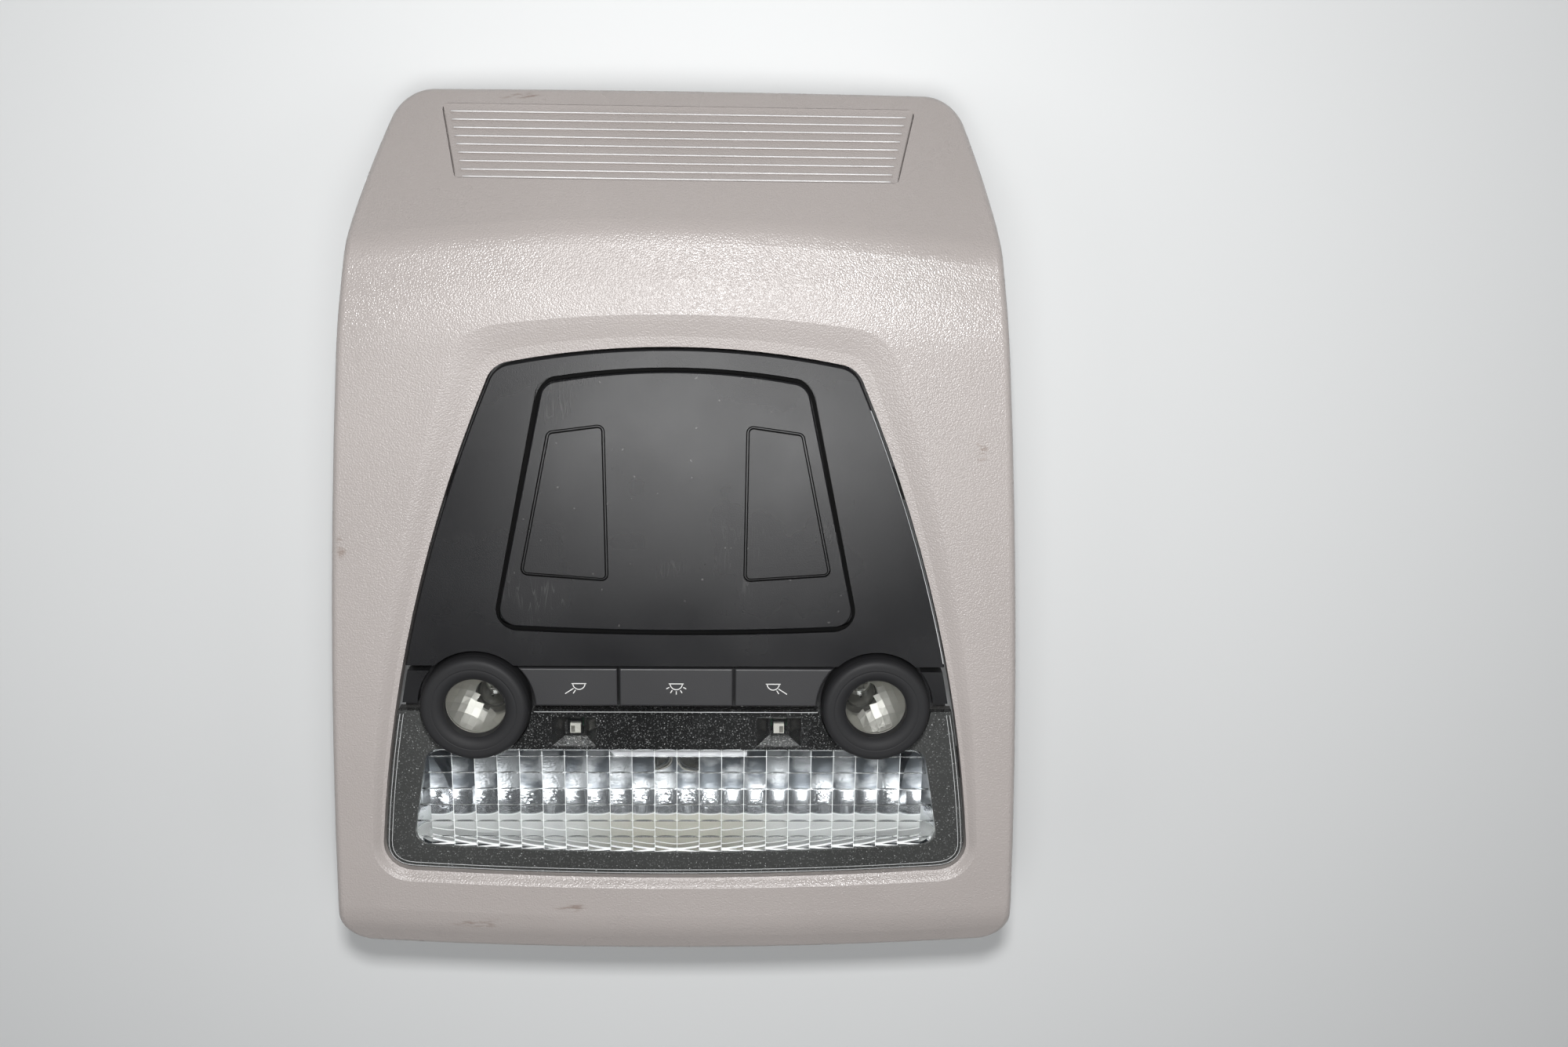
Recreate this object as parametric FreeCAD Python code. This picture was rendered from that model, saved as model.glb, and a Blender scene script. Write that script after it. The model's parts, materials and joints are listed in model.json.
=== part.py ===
import FreeCAD, Part
import math
import os

V = FreeCAD.Vector

# Overhead car interior light in mm, lying on its back: +Z is the way the light shines,
# +Y runs towards the louvre, and Z = 0 is the flat back of the rear lid.

# Trim cover, the grey moulding that carries everything else
COVER_LENGTH = 248.0
COVER_TOP_HALF = 77.5
COVER_SHOULDER_HALF = 87.8
COVER_SHOULDER_DROP = 38.0
COVER_BOTTOM_HALF = 99.3
COVER_TOP_CORNER = 12.0
COVER_BOTTOM_CORNER = 10.0
COVER_SHOULDER_ROUND = 60.0
COVER_TOP_BOW = 0.4
COVER_FLARE_BOW = 0.8
COVER_SIDE_BOW = 2.4
COVER_BOTTOM_BOW = 3.5
COVER_WALL = 2.2
COVER_EDGE_ROUND = 2.0
SKIRT_DEPTH = 8.0
FACE_Z = 54.1

# Bends of the cover: a gentle band, then a crease to the louvred brow, and a rolled lower edge
BAND_DROP = 56.0
BAND_ANGLE = 14.0
BAND_ROUND = 60.0
CREASE_DROP = 36.0
CREASE_ANGLE = 42.0
CREASE_ROUND = 15.0
CREASE_SWEEP = 667.0
ROLL_WIDTH = 8.9
ROLL_ANGLE = 24.0
ROLL_ROUND = 18.0

# Louvre in the brow
LOUVRE_MARGIN = 4.1
LOUVRE_HEIGHT = 19.7
LOUVRE_LOW_HALF = 60.5
LOUVRE_HIGH_HALF = 66.5
LOUVRE_DEPTH = 0.9
LOUVRE_CORNER = 1.5
RIB_COUNT = 8
RIB_WIDTH = 0.55
RIB_END_GAP = 2.0
RIB_SINK = 0.1

# Lamp unit outline, which is also the hole in the cover
UNIT_TOP_Y = 51.7
UNIT_TOP_HALF = 49.3
UNIT_TOP_BOW = 5.3
UNIT_SIDE_BOW = 6.9
UNIT_BOTTOM_Y = -96.5
UNIT_BOTTOM_HALF = 85.6
UNIT_BOTTOM_BOW = 3.2
UNIT_TOP_CORNER = 8.0
UNIT_BOTTOM_CORNER = 8.5
UNIT_GAP = 0.7
UNIT_SINK = 1.8
DISH_RISE = 9.6
DISH_SPREAD = 7.5
DISH_PROFILE = ((0.0, 0.0), (0.3, 0.15), (0.75, 0.7), (1.0, 0.95), (1.5, 1.3))
DISH_PAD = 1.0
LIP_WIDTH = 2.5
COLLAR_WALL = 1.8
COLLAR_DEPTH = 8.0

# Face plate and blanking cover
PLATE_WALL = 2.4
PLATE_SKIRT_WALL = 1.8
PLATE_BEVEL = 0.45
PLATE_BOTTOM_Y = -34.0
SEAT_DROP = 5.0
BLANK_TOP_Y = 46.7
BLANK_TOP_HALF = 36.0
BLANK_TOP_BOW = 3.5
BLANK_BOTTOM_Y = -22.0
BLANK_BOTTOM_HALF = 50.6
BLANK_BOTTOM_BOW = 1.5
BLANK_CORNER = 5.0
BLANK_GAP = 1.2
BLANK_BEVEL = 0.4
BLANK_FLANGE = 2.5
BLANK_FLANGE_WALL = 1.6
GROOVE_WIDTH = 1.0
GROOVE_DEPTH = 0.5
GROOVE_TOP_IN_X = 19.3
GROOVE_TOP_IN_Y = 35.8
GROOVE_TOP_OUT_X = 35.2
GROOVE_TOP_OUT_Y = 33.6
GROOVE_LOW_OUT_X = 43.7
GROOVE_LOW_OUT_Y = -7.3
GROOVE_LOW_IN_X = 18.8
GROOVE_LOW_IN_Y = -9.1

# Reading lights
READ_SIDE_GAP = 22.46
READ_Y = -46.2
RING_RADIUS = 15.5
RING_HOLE = 8.75
RING_CREST_RADIUS = 11.6
RING_CREST = 3.4
RING_EDGE = 0.4
RING_INNER_EDGE = 1.9
RING_INNER_SWELL = 0.43
RING_OUTER_SWELL = 0.82
RING_GAP = 1.0
RING_LEDGE = 1.5
TUBE_RADIUS = 11.8
TUBE_WALL = 1.5
TUBE_LENGTH = 8.5
READ_LENS_WALL = 1.6
BOWL_WALL = 1.0
BOWL_DEPTH = 8.0
BOWL_FLOOR_RADIUS = 6.0
READ_BULB_IN = 3.6
SPIGOT_REACH = 13.0

# Wedge bulbs and their holders
BULB_RADIUS = 4.8
BULB_GLASS = 17.0
BULB_DOME = 3.8
BULB_DOME_SWELL = 1.3
BULB_WEDGE = 6.5
BULB_WEDGE_WALL = 2.4
BULB_WEDGE_WIDTH = 8.4
HOLDER_RADIUS = 6.4
HOLDER_LENGTH = 10.5
HOLDER_FLANGE = 1.4
HOLDER_FLANGE_WALL = 1.5
HOLDER_CLEARANCE = 0.3
HOLDER_FLOOR = 2.0
HOLDER_GRIP = 2.0
HOLDER_GRIP_WIDTH = 9.0
HOLDER_GRIP_WALL = 3.0

# Buttons and the frame they stand in
BUTTON_TOP_GAP = 0.6
BUTTON_HEIGHT = 11.3
BUTTON_CENTRE_HALF = 16.1
BUTTON_SPLIT = 0.6
BUTTON_PROUD = 0.3
BUTTON_TRAVEL = 1.2
BUTTON_STOP_GAP = 0.3
BUTTON_ROUND = 0.5
BUTTON_RING_GAP = 1.5
NECK_WIDTH = 19.0
NECK_HEIGHT = 6.4
NECK_CLEARANCE = 0.5
SIDE_NECK_X = 28.6
LUG_REACH = 1.2
LUG_WALL = 1.3
LUG_GAP = 0.15
STEM_RADIUS = 2.2
STEM_GAP = 0.05
SWITCH_FRAME_WALL = 2.0
SWITCH_FRAME_BELOW = 0.9
END_BLOCK_TOP_GAP = 1.8
END_BLOCK_HEIGHT = 9.6
END_BLOCK_SINK = 0.8
END_BLOCK_EDGE_GAP = 0.8

# Lens, the dark mask behind it and the bright reflector
LENS_TOP_Y = -47.6
LENS_WALL = 2.5
LENS_BEVEL = 0.9
MASK_WALL = 2.5
WINDOW_TOP_Y = -59.9
WINDOW_TOP_MARGIN = 10.01
WINDOW_BOTTOM_Y = -89.6
WINDOW_BOTTOM_MARGIN = 8.23
WINDOW_BOTTOM_BOW = 2.9
WINDOW_CORNER = 4.5
OPTIC_GAP = 0.4
OPTIC_DEPTH = 2.0
FLUTE_PITCH = 6.5
FLUTE_HEIGHT = 0.9
ROW_PITCH = 5.05
ROW_FIRST_DROP = 2.85
ROW_LINE = 0.3
FUNNEL_IN_X = 23.0
FUNNEL_OUT_X = 36.0
FUNNEL_TOP_Y = -50.0
FUNNEL_LOW_Y = -59.1
FUNNEL_DEPTH = 7.0
FUNNEL_WALL = 0.8
FUNNEL_HOLE = 4.0
FUNNEL_OVERRUN = 0.5
LED_X = 29.6
LED_Y = -55.6
LED_SIZE = 3.0
LED_INSET = 1.4
REFLECTOR_WALL = 1.0
REFLECTOR_DEPTH = 17.0
TROUGH_RADIUS = 24.0
REFLECTOR_TAPER = 3.0
VISOR_HALF = 20.0
VISOR_REACH = 2.6
VISOR_WALL = 0.8
VISOR_DROP = 1.6
MAIN_BULB_Y = -69.9
MAIN_SPIGOT = 11.0

# Carrier, circuit board, socket and rear lid
DECK_WALL = 2.0
CARRIER_INSET = 1.2
CARRIER_WALL = 2.0
DECK_CLEARANCE = 0.4
LID_WALL = 2.0
LID_LIP_WALL = 1.6
LID_LIP = 6.0
LID_CLEARANCE = 0.25
BOARD_DROP = 7.5
BOARD_WALL = 1.6
BOARD_TOP_Y = 40.0
BOARD_STEP_Y = -24.0
BOARD_LOW_Y = -56.5
BOARD_WIDE_HALF = 36.0
BOARD_NARROW_HALF = 32.0
POST_X = 27.0
POST_HIGH_Y = 34.0
POST_LOW_Y = -27.0
POST_RADIUS = 2.6
POST_BORE = 3.8
POST_GRIP = 2.5
MAT_BASE = 1.0
MAT_HALF = 31.0
MAT_MARGIN = 0.8
DOME_HEIGHT = 2.6
DOME_RADIUS = 3.4
DOME_TIP_RADIUS = 2.4
SOCKET_Y = 12.0
SOCKET_HALF_X = 13.0
SOCKET_HALF_Y = 6.0
SOCKET_HEIGHT = 20.0
SOCKET_WALL = 1.4
SOCKET_FLOOR = 2.0
SOCKET_PIN = 0.8
SOCKET_PIN_REACH = 9.0
SOCKET_PIN_PITCH = 3.6
SOCKET_PIN_COUNT = 6
SOCKET_ROW_PITCH = 4.4
SOCKET_HOLE_MARGIN = 2.0
VENT_WIDTH = 2.4
VENT_LENGTH = 30.0
VENT_PITCH = 6.0
VENT_COUNT = 4
VENT_Y = -24.0
SCREW_RADIUS = 1.4
SCREW_HEAD_RADIUS = 2.8
SCREW_HEAD = 1.3
SCREW_REACH = 8.0
SCREW_PLAY = 0.06
SCREW_SLOT_LENGTH = 3.2
SCREW_SLOT_WIDTH = 0.6
BOSS_RADIUS = 3.6
BOSS_TOP = 16.0
LID_BOSS_HIGH_X = 38.0
LID_BOSS_HIGH_Y = 47.6
LID_BOSS_MARGIN = 7.63
LID_BOSS_LOW_Y = -91.0

# Ears that screw the carrier to the cover, spring clips and locating pins
EAR_HIGH_Y = 16.0
EAR_LOW_Y = -70.0
EAR_REACH = 8.0
EAR_WIDTH = 9.0
EAR_WALL = 3.0
EAR_TOP = 37.0
TOWER_HIGH_X = 77.0
TOWER_HIGH_Y = 38.0
TOWER_LOW_X = 45.0
TOWER_WIDTH = 12.0
TOWER_WALL = 2.0
TOWER_TIP = 24.0
CLIP_WIDTH = 9.0
CLIP_SHEET = 0.7
CLIP_LENGTH = 15.0
CLIP_BULGE = 2.4
CLIP_KNEE = 6.8
PIN_X = 68.0
PIN_DROP = 69.0
PIN_RADIUS = 3.0
PIN_TIP = 22.0
PIN_CHAMFER = 0.8
PIN_SHOULDER = 36.0
PIN_SHOULDER_RADIUS = 5.0
PIN_FILLET = 0.8

# Places and levels that follow from the sizes above
COVER_TOP_Y = COVER_LENGTH / 2
COVER_LOW_Y = -COVER_LENGTH / 2
COVER_SHOULDER_Y = COVER_TOP_Y - COVER_SHOULDER_DROP
BAND_Y = COVER_TOP_Y - BAND_DROP
CREASE_Y = COVER_TOP_Y - CREASE_DROP
LOUVRE_HIGH_Y = COVER_TOP_Y - LOUVRE_MARGIN
LOUVRE_LOW_Y = LOUVRE_HIGH_Y - LOUVRE_HEIGHT
TOWER_LOW_Y = (COVER_LOW_Y + UNIT_BOTTOM_Y) / 2
PIN_Y = COVER_TOP_Y - PIN_DROP
UNIT_Z = FACE_Z - UNIT_SINK
SEAT_Z = UNIT_Z - SEAT_DROP
DECK_Z = SEAT_Z - DECK_WALL
BOARD_Z = SEAT_Z - BOARD_DROP
LENS_BACK_Z = UNIT_Z - LENS_WALL
MASK_BACK_Z = LENS_BACK_Z - MASK_WALL
PLATE_BACK_Z = UNIT_Z - PLATE_WALL
BUTTON_TOP_Y = PLATE_BOTTOM_Y - BUTTON_TOP_GAP
BUTTON_LOW_Y = BUTTON_TOP_Y - BUTTON_HEIGHT
BUTTON_MID_Y = (BUTTON_TOP_Y + BUTTON_LOW_Y) / 2
DOME_Z = BOARD_Z + MAT_BASE + DOME_HEIGHT
FAR = 400.0


def box(x0, x1, y0, y1, z0, z1):
    return Part.makeBox(x1 - x0, y1 - y0, z1 - z0, V(x0, y0, z0))


def drum(x, y, radius, z0, z1):
    return Part.makeCylinder(radius, z1 - z0, V(x, y, z0))


def mirrored(shape):
    return shape.mirror(V(0, 0, 0), V(1, 0, 0))


def both(shape):
    return [shape, mirrored(shape)]


def fused(first, others):
    return first.multiFuse(others).removeSplitter()


def polygon(points):
    corners = [V(*point) for point in points]
    return Part.Face(Part.makePolygon(corners + corners[:1]))


def side_curve(start, end, bow):
    """Distance from a side of an outline, counted inwards, and the way it grows, as a function."""
    a = V(start[0], start[1], 0)
    b = V(end[0], end[1], 0)
    way = (b - a).normalize()
    outward = V(-way.y, way.x, 0)
    if bow == 0:
        return lambda point: ((a - point).dot(outward), outward * -1)
    half = (b - a).Length / 2
    radius = (half * half + bow * bow) / (2 * bow)
    centre = (a + b) * 0.5 - outward * (radius - bow)

    def inwards(point):
        spoke = point - centre
        return radius - spoke.Length, spoke.normalize() * -1

    return inwards


def corner_centre(before, after, corner, radius):
    """Centre of the circle that touches both sides at a corner, by Newton steps from the corner."""
    point = V(corner[0], corner[1], 0)
    for _ in range(30):
        near, grow_near = before(point)
        far, grow_far = after(point)
        miss_near = radius - near
        miss_far = radius - far
        scale = grow_near.x * grow_far.y - grow_near.y * grow_far.x
        step_x = (miss_near * grow_far.y - miss_far * grow_near.y) / scale
        step_y = (miss_far * grow_near.x - miss_near * grow_far.x) / scale
        point = point + V(step_x, step_y, 0)
    return point


def side_edge(side, bow, start, end):
    if bow == 0:
        return Part.makeLine(start, end)
    middle = (start + end) * 0.5
    depth, inward = side(middle)
    edge_depth = side(start)[0]
    return Part.Arc(start, middle - inward * (depth - edge_depth), end).toShape()


def outline(corners, bows, radii, grow=0.0):
    """Face with bowed sides and round corners, from corners listed clockwise, grown all round."""
    ends = corners[1:] + corners[:1]
    sides = [side_curve(a, b, bow) for a, b, bow in zip(corners, ends, bows)]
    centres = []
    for index, (corner, radius) in enumerate(zip(corners, radii)):
        centres.append(corner_centre(sides[index - 1], sides[index], corner, radius))
    edges = []
    for index, side in enumerate(sides):
        follow = (index + 1) % len(sides)
        leave = centres[index] - side(centres[index])[1] * (radii[index] + grow)
        enter = centres[follow] - side(centres[follow])[1] * (radii[follow] + grow)
        turn = sides[follow]
        turn_end = centres[follow] - turn(centres[follow])[1] * (radii[follow] + grow)
        bend = (side(centres[follow])[1] + turn(centres[follow])[1]).normalize()
        crown = centres[follow] - bend * (radii[follow] + grow)
        edges.append(side_edge(side, bows[index], leave, enter))
        edges.append(Part.Arc(enter, crown, turn_end).toShape())
    return Part.Face(Part.Wire(edges))


def four_sided(top_half, top_y, low_half, low_y, bows, radii, grow=0.0):
    """Outline that is the same left and right: bows are top, side, low; radii are top, low."""
    corners = [(-top_half, top_y), (top_half, top_y), (low_half, low_y), (-low_half, low_y)]
    top_bow, side_bow, low_bow = bows
    top_radius, low_radius = radii
    return outline(
        corners,
        [top_bow, side_bow, low_bow, side_bow],
        [top_radius, top_radius, low_radius, low_radius],
        grow,
    )


def slab(face, z0, z1):
    base = face.copy()
    base.translate(V(0, 0, z0))
    return base.extrude(V(0, 0, z1 - z0))


def bevelled_slab(face_of, grow, z0, z1, bevel):
    """Slab with a bevelled front edge, from a function that gives its outline for a growth."""
    edge = lifted_wire(face_of(grow), z1 - bevel)
    crown = loft([edge, lifted_wire(face_of(grow - bevel), z1)])
    return fused(slab(face_of(grow), z0, z1 - bevel), [crown])


def ring_slab(outer, inner, z0, z1):
    return slab(outer, z0, z1).cut(slab(inner, z0 - 1, z1 + 1))


def lifted_wire(face, z):
    wire = face.OuterWire.copy()
    wire.translate(V(0, 0, z))
    return wire


def loft(wires):
    body = Part.makeLoft(wires, True, True)
    if body.Volume < 0:
        body.reverse()
    return body


def arc_middle(start, end, swell):
    """Middle of an arc that stands off its chord by the swell, to the left of the way it runs."""
    run = (end[0] - start[0], end[1] - start[1])
    share = swell / math.hypot(*run)
    return ((start[0] + end[0]) / 2 - run[1] * share, (start[1] + end[1]) / 2 + run[0] * share)


def turned(points, arcs=()):
    """Solid of revolution about Z from (radius, z) points; arcs maps a start index to its mid point."""
    mids = dict(arcs)
    edges = []
    for index, start in enumerate(points):
        end = points[(index + 1) % len(points)]
        a = V(start[0], 0, start[1])
        b = V(end[0], 0, end[1])
        if index in mids:
            mid = V(mids[index][0], 0, mids[index][1])
            edges.append(Part.Arc(a, mid, b).toShape())
        else:
            edges.append(Part.makeLine(a, b))
    return Part.Face(Part.Wire(edges)).revolve(V(0, 0, 0), V(0, 0, 1), 360)


def unit_face(grow=0.0):
    return four_sided(
        UNIT_TOP_HALF,
        UNIT_TOP_Y,
        UNIT_BOTTOM_HALF,
        UNIT_BOTTOM_Y,
        (UNIT_TOP_BOW, UNIT_SIDE_BOW, UNIT_BOTTOM_BOW),
        (UNIT_TOP_CORNER, UNIT_BOTTOM_CORNER),
        grow,
    )


def unit_half(y):
    """Half width of the lamp unit's outline at the given Y."""
    chord = math.hypot(UNIT_BOTTOM_HALF - UNIT_TOP_HALF, UNIT_TOP_Y - UNIT_BOTTOM_Y)
    radius = (chord * chord / 4 + UNIT_SIDE_BOW * UNIT_SIDE_BOW) / (2 * UNIT_SIDE_BOW)
    out_x = (UNIT_TOP_Y - UNIT_BOTTOM_Y) / chord
    out_y = (UNIT_BOTTOM_HALF - UNIT_TOP_HALF) / chord
    depth = radius - UNIT_SIDE_BOW
    centre_x = (UNIT_TOP_HALF + UNIT_BOTTOM_HALF) / 2 - out_x * depth
    centre_y = (UNIT_TOP_Y + UNIT_BOTTOM_Y) / 2 - out_y * depth
    return centre_x + math.sqrt(radius * radius - (y - centre_y) ** 2)


def read_x():
    """Distance of each reading light from the middle."""
    return unit_half(READ_Y) - READ_SIDE_GAP


def window_low_half():
    return unit_half(WINDOW_BOTTOM_Y) - WINDOW_BOTTOM_MARGIN


def dish_face(share, grow=0.0):
    """Hole outline widened by a share of the dish: wide above the unit, a lip elsewhere."""
    rise = DISH_RISE * share
    spread = DISH_SPREAD * share
    lip = LIP_WIDTH * share
    return four_sided(
        UNIT_TOP_HALF + spread,
        UNIT_TOP_Y + rise,
        UNIT_BOTTOM_HALF + lip,
        UNIT_BOTTOM_Y - lip,
        (UNIT_TOP_BOW, UNIT_SIDE_BOW, UNIT_BOTTOM_BOW),
        (UNIT_TOP_CORNER + spread, UNIT_BOTTOM_CORNER + lip),
        grow,
    )


def window_face(grow=0.0):
    return four_sided(
        unit_half(WINDOW_TOP_Y) - WINDOW_TOP_MARGIN + grow,
        WINDOW_TOP_Y + grow,
        window_low_half() + grow,
        WINDOW_BOTTOM_Y - grow,
        (0, 0, WINDOW_BOTTOM_BOW),
        (WINDOW_CORNER, WINDOW_CORNER),
    )


def blank_face(grow=0.0):
    return four_sided(
        BLANK_TOP_HALF + grow,
        BLANK_TOP_Y + grow,
        BLANK_BOTTOM_HALF + grow,
        BLANK_BOTTOM_Y - grow,
        (BLANK_TOP_BOW, 0, BLANK_BOTTOM_BOW),
        (BLANK_CORNER + grow, BLANK_CORNER + grow),
    )


def cover_face(grow=0.0):
    top_y = COVER_TOP_Y - COVER_TOP_BOW
    low_y = COVER_LOW_Y + COVER_BOTTOM_BOW
    right = [
        (COVER_TOP_HALF, top_y),
        (COVER_SHOULDER_HALF, COVER_SHOULDER_Y),
        (COVER_BOTTOM_HALF, low_y),
    ]
    left = [(-x, y) for x, y in reversed(right)]
    return outline(
        left[2:] + right + left[:2],
        [COVER_TOP_BOW, COVER_FLARE_BOW, COVER_SIDE_BOW, COVER_BOTTOM_BOW, COVER_SIDE_BOW, COVER_FLARE_BOW],
        [
            COVER_TOP_CORNER,
            COVER_TOP_CORNER,
            COVER_SHOULDER_ROUND,
            COVER_BOTTOM_CORNER,
            COVER_BOTTOM_CORNER,
            COVER_SHOULDER_ROUND,
        ],
        grow,
    )


def skin_points(inset):
    """Corners of the cover's side profile as (y, z), moved in by the inset."""
    slopes = [0.0, math.radians(BAND_ANGLE), math.radians(CREASE_ANGLE)]
    turns = [(BAND_Y, FACE_Z), (CREASE_Y, FACE_Z - (CREASE_Y - BAND_Y) * math.tan(slopes[1]))]
    start_y = -COVER_LENGTH
    end_y = COVER_LENGTH * 0.6
    points = [(start_y, FACE_Z - inset)]
    for (y, z), before, after in zip(turns, slopes, slopes[1:]):
        lean = (before + after) / 2
        reach = inset / math.cos((after - before) / 2)
        points.append((y - reach * math.sin(lean), z - reach * math.cos(lean)))
    last_y, last_z = points[-1]
    points.append((end_y, last_z - (end_y - last_y) * math.tan(slopes[2])))
    return points


def rounded_path(points, radii):
    """Edges in the YZ plane along the points, with each inner corner rounded."""
    vectors = [V(0, y, z) for y, z in points]
    edges = []
    here = vectors[0]
    for before, corner, after, radius in zip(vectors, vectors[1:], vectors[2:], radii):
        back = (before - corner).normalize()
        ahead = (after - corner).normalize()
        half = back.getAngle(ahead) / 2
        enter = corner + back * (radius / math.tan(half))
        leave = corner + ahead * (radius / math.tan(half))
        inward = (back + ahead).normalize()
        crown = corner + inward * (radius / math.sin(half) - radius)
        edges.append(Part.makeLine(here, enter))
        edges.append(Part.Arc(enter, crown, leave).toShape())
        here = leave
    edges.append(Part.makeLine(here, vectors[-1]))
    return edges


def bent_slab(inset, depth):
    """Material between two insets below the cover's bent skin, swept so that the crease is an arc."""
    high = skin_points(inset)
    low = skin_points(depth)
    upper = rounded_path(high, [BAND_ROUND - inset, CREASE_ROUND - inset])
    lower = rounded_path(low, [BAND_ROUND - depth, CREASE_ROUND - depth])
    ends = [
        Part.makeLine(V(0, *high[-1]), V(0, *low[-1])),
        Part.makeLine(V(0, *low[0]), V(0, *high[0])),
    ]
    face = Part.Face(Part.Wire(Part.__sortEdges__(upper + lower + ends)))
    axis = V(0, CREASE_Y - CREASE_SWEEP, 0)
    swing = math.degrees(math.asin(COVER_BOTTOM_HALF * 1.4 / (CREASE_SWEEP - CREASE_Y - COVER_LENGTH / 2)))
    face.rotate(axis, V(0, 0, 1), -swing)
    return face.revolve(axis, V(0, 0, 1), 2 * swing)


def roll_cutter(inset):
    """Material above the sloping lower edge, swept along the same arc as that edge."""
    slope = math.radians(ROLL_ANGLE)
    start_y = COVER_LOW_Y + ROLL_WIDTH
    top_z = FACE_Z - inset / math.cos(slope)
    reach = 2 * ROLL_WIDTH
    rise = reach * math.tan(slope)
    face = polygon(
        [
            (0, start_y + reach, top_z + rise),
            (0, start_y - reach, top_z - rise),
            (0, start_y - reach, top_z + rise),
        ]
    )
    radius = (COVER_BOTTOM_HALF ** 2 + COVER_BOTTOM_BOW ** 2) / (2 * COVER_BOTTOM_BOW)
    axis = V(0, radius + COVER_LOW_Y, 0)
    swing = math.degrees(math.asin(COVER_BOTTOM_HALF * 1.2 / radius))
    face.rotate(axis, V(0, 0, 1), -swing)
    return face.revolve(axis, V(0, 0, 1), 2 * swing)


def faces_at(shape, edge):
    return shape.ancestorsOfType(edge, Part.Face)


def face_tilt(face, edge):
    """Z share of the face's normal at the middle of the edge."""
    u, v = face.Surface.parameter(edge.valueAt((edge.FirstParameter + edge.LastParameter) / 2))
    return face.normalAt(u, v).z


def crest_edges(shape):
    """Edges where an upright side meets the skin above it."""
    chosen = []
    for edge in shape.Edges:
        tilts = sorted(face_tilt(face, edge) for face in faces_at(shape, edge))
        if len(tilts) == 2 and abs(tilts[0]) < 0.02 and tilts[1] > 0.3:
            chosen.append(edge)
    return chosen


def roll_edges(shape):
    """Edge where the flat of the cover turns down to its lower edge."""
    chosen = []
    roll_tilt = math.cos(math.radians(ROLL_ANGLE))
    for edge in shape.Edges:
        tilts = sorted(face_tilt(face, edge) for face in faces_at(shape, edge))
        if len(tilts) == 2 and abs(tilts[0] - roll_tilt) < 0.02 and tilts[1] > 0.999:
            chosen.append(edge)
    return chosen


def cover_shell():
    block = slab(cover_face(), -1, FACE_Z + 1).common(bent_slab(0, SKIRT_DEPTH))
    block = block.cut(roll_cutter(0))
    block = block.makeFillet(ROLL_ROUND, roll_edges(block))
    block = block.makeFillet(COVER_EDGE_ROUND, crest_edges(block))
    hollow = slab(cover_face(-COVER_WALL), -FACE_Z, FACE_Z + 1)
    hollow = hollow.common(bent_slab(COVER_WALL, SKIRT_DEPTH + COVER_WALL))
    hollow = hollow.cut(roll_cutter(COVER_WALL))
    return block.cut(hollow)


def louvre_face():
    return four_sided(
        LOUVRE_HIGH_HALF,
        LOUVRE_HIGH_Y,
        LOUVRE_LOW_HALF,
        LOUVRE_LOW_Y,
        (0, 0, 0),
        (LOUVRE_CORNER, LOUVRE_CORNER),
    )


def louvre_ribs():
    pitch = (LOUVRE_HIGH_Y - LOUVRE_LOW_Y) / (RIB_COUNT + 1)
    widen = (LOUVRE_HIGH_HALF - LOUVRE_LOW_HALF) / (RIB_COUNT + 1)
    skin = bent_slab(RIB_SINK, LOUVRE_DEPTH + COVER_WALL / 4)
    ribs = []
    for index in range(1, RIB_COUNT + 1):
        y = LOUVRE_LOW_Y + pitch * index
        half = LOUVRE_LOW_HALF + widen * index - RIB_END_GAP
        strip = box(-half, half, y - RIB_WIDTH / 2, y + RIB_WIDTH / 2, 0, FACE_Z)
        ribs.append(strip.common(skin))
    return ribs


def ear_places():
    places = []
    for y in (EAR_HIGH_Y, EAR_LOW_Y):
        x = unit_half(y) + EAR_REACH
        places += [(x, y), (-x, y)]
    return places


def tower_places():
    high = [(TOWER_HIGH_X, TOWER_HIGH_Y), (-TOWER_HIGH_X, TOWER_HIGH_Y)]
    low = [(TOWER_LOW_X, TOWER_LOW_Y), (-TOWER_LOW_X, TOWER_LOW_Y)]
    return high + low


def tower(x, y):
    half = TOWER_WIDTH / 2
    top = FACE_Z - COVER_WALL / 2
    return box(x - half, x + half, y - TOWER_WALL / 2, y + TOWER_WALL / 2, TOWER_TIP, top)


def locating_pin():
    """Pin with a shoulder that the roof frame rests on, and a small fillet at its root."""
    top = FACE_Z - COVER_WALL / 2
    wall_end = (PIN_RADIUS, PIN_SHOULDER - PIN_FILLET)
    shoulder = (PIN_RADIUS + PIN_FILLET, PIN_SHOULDER)
    pin = turned(
        [
            (0, PIN_TIP),
            (PIN_RADIUS - PIN_CHAMFER, PIN_TIP),
            (PIN_RADIUS, PIN_TIP + PIN_CHAMFER),
            wall_end,
            shoulder,
            (PIN_SHOULDER_RADIUS, PIN_SHOULDER),
            (PIN_SHOULDER_RADIUS, top),
            (0, top),
        ],
        [(3, arc_middle(wall_end, shoulder, PIN_FILLET * (1 - math.sqrt(0.5))))],
    )
    pin.translate(V(PIN_X, PIN_Y, 0))
    return pin


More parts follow.
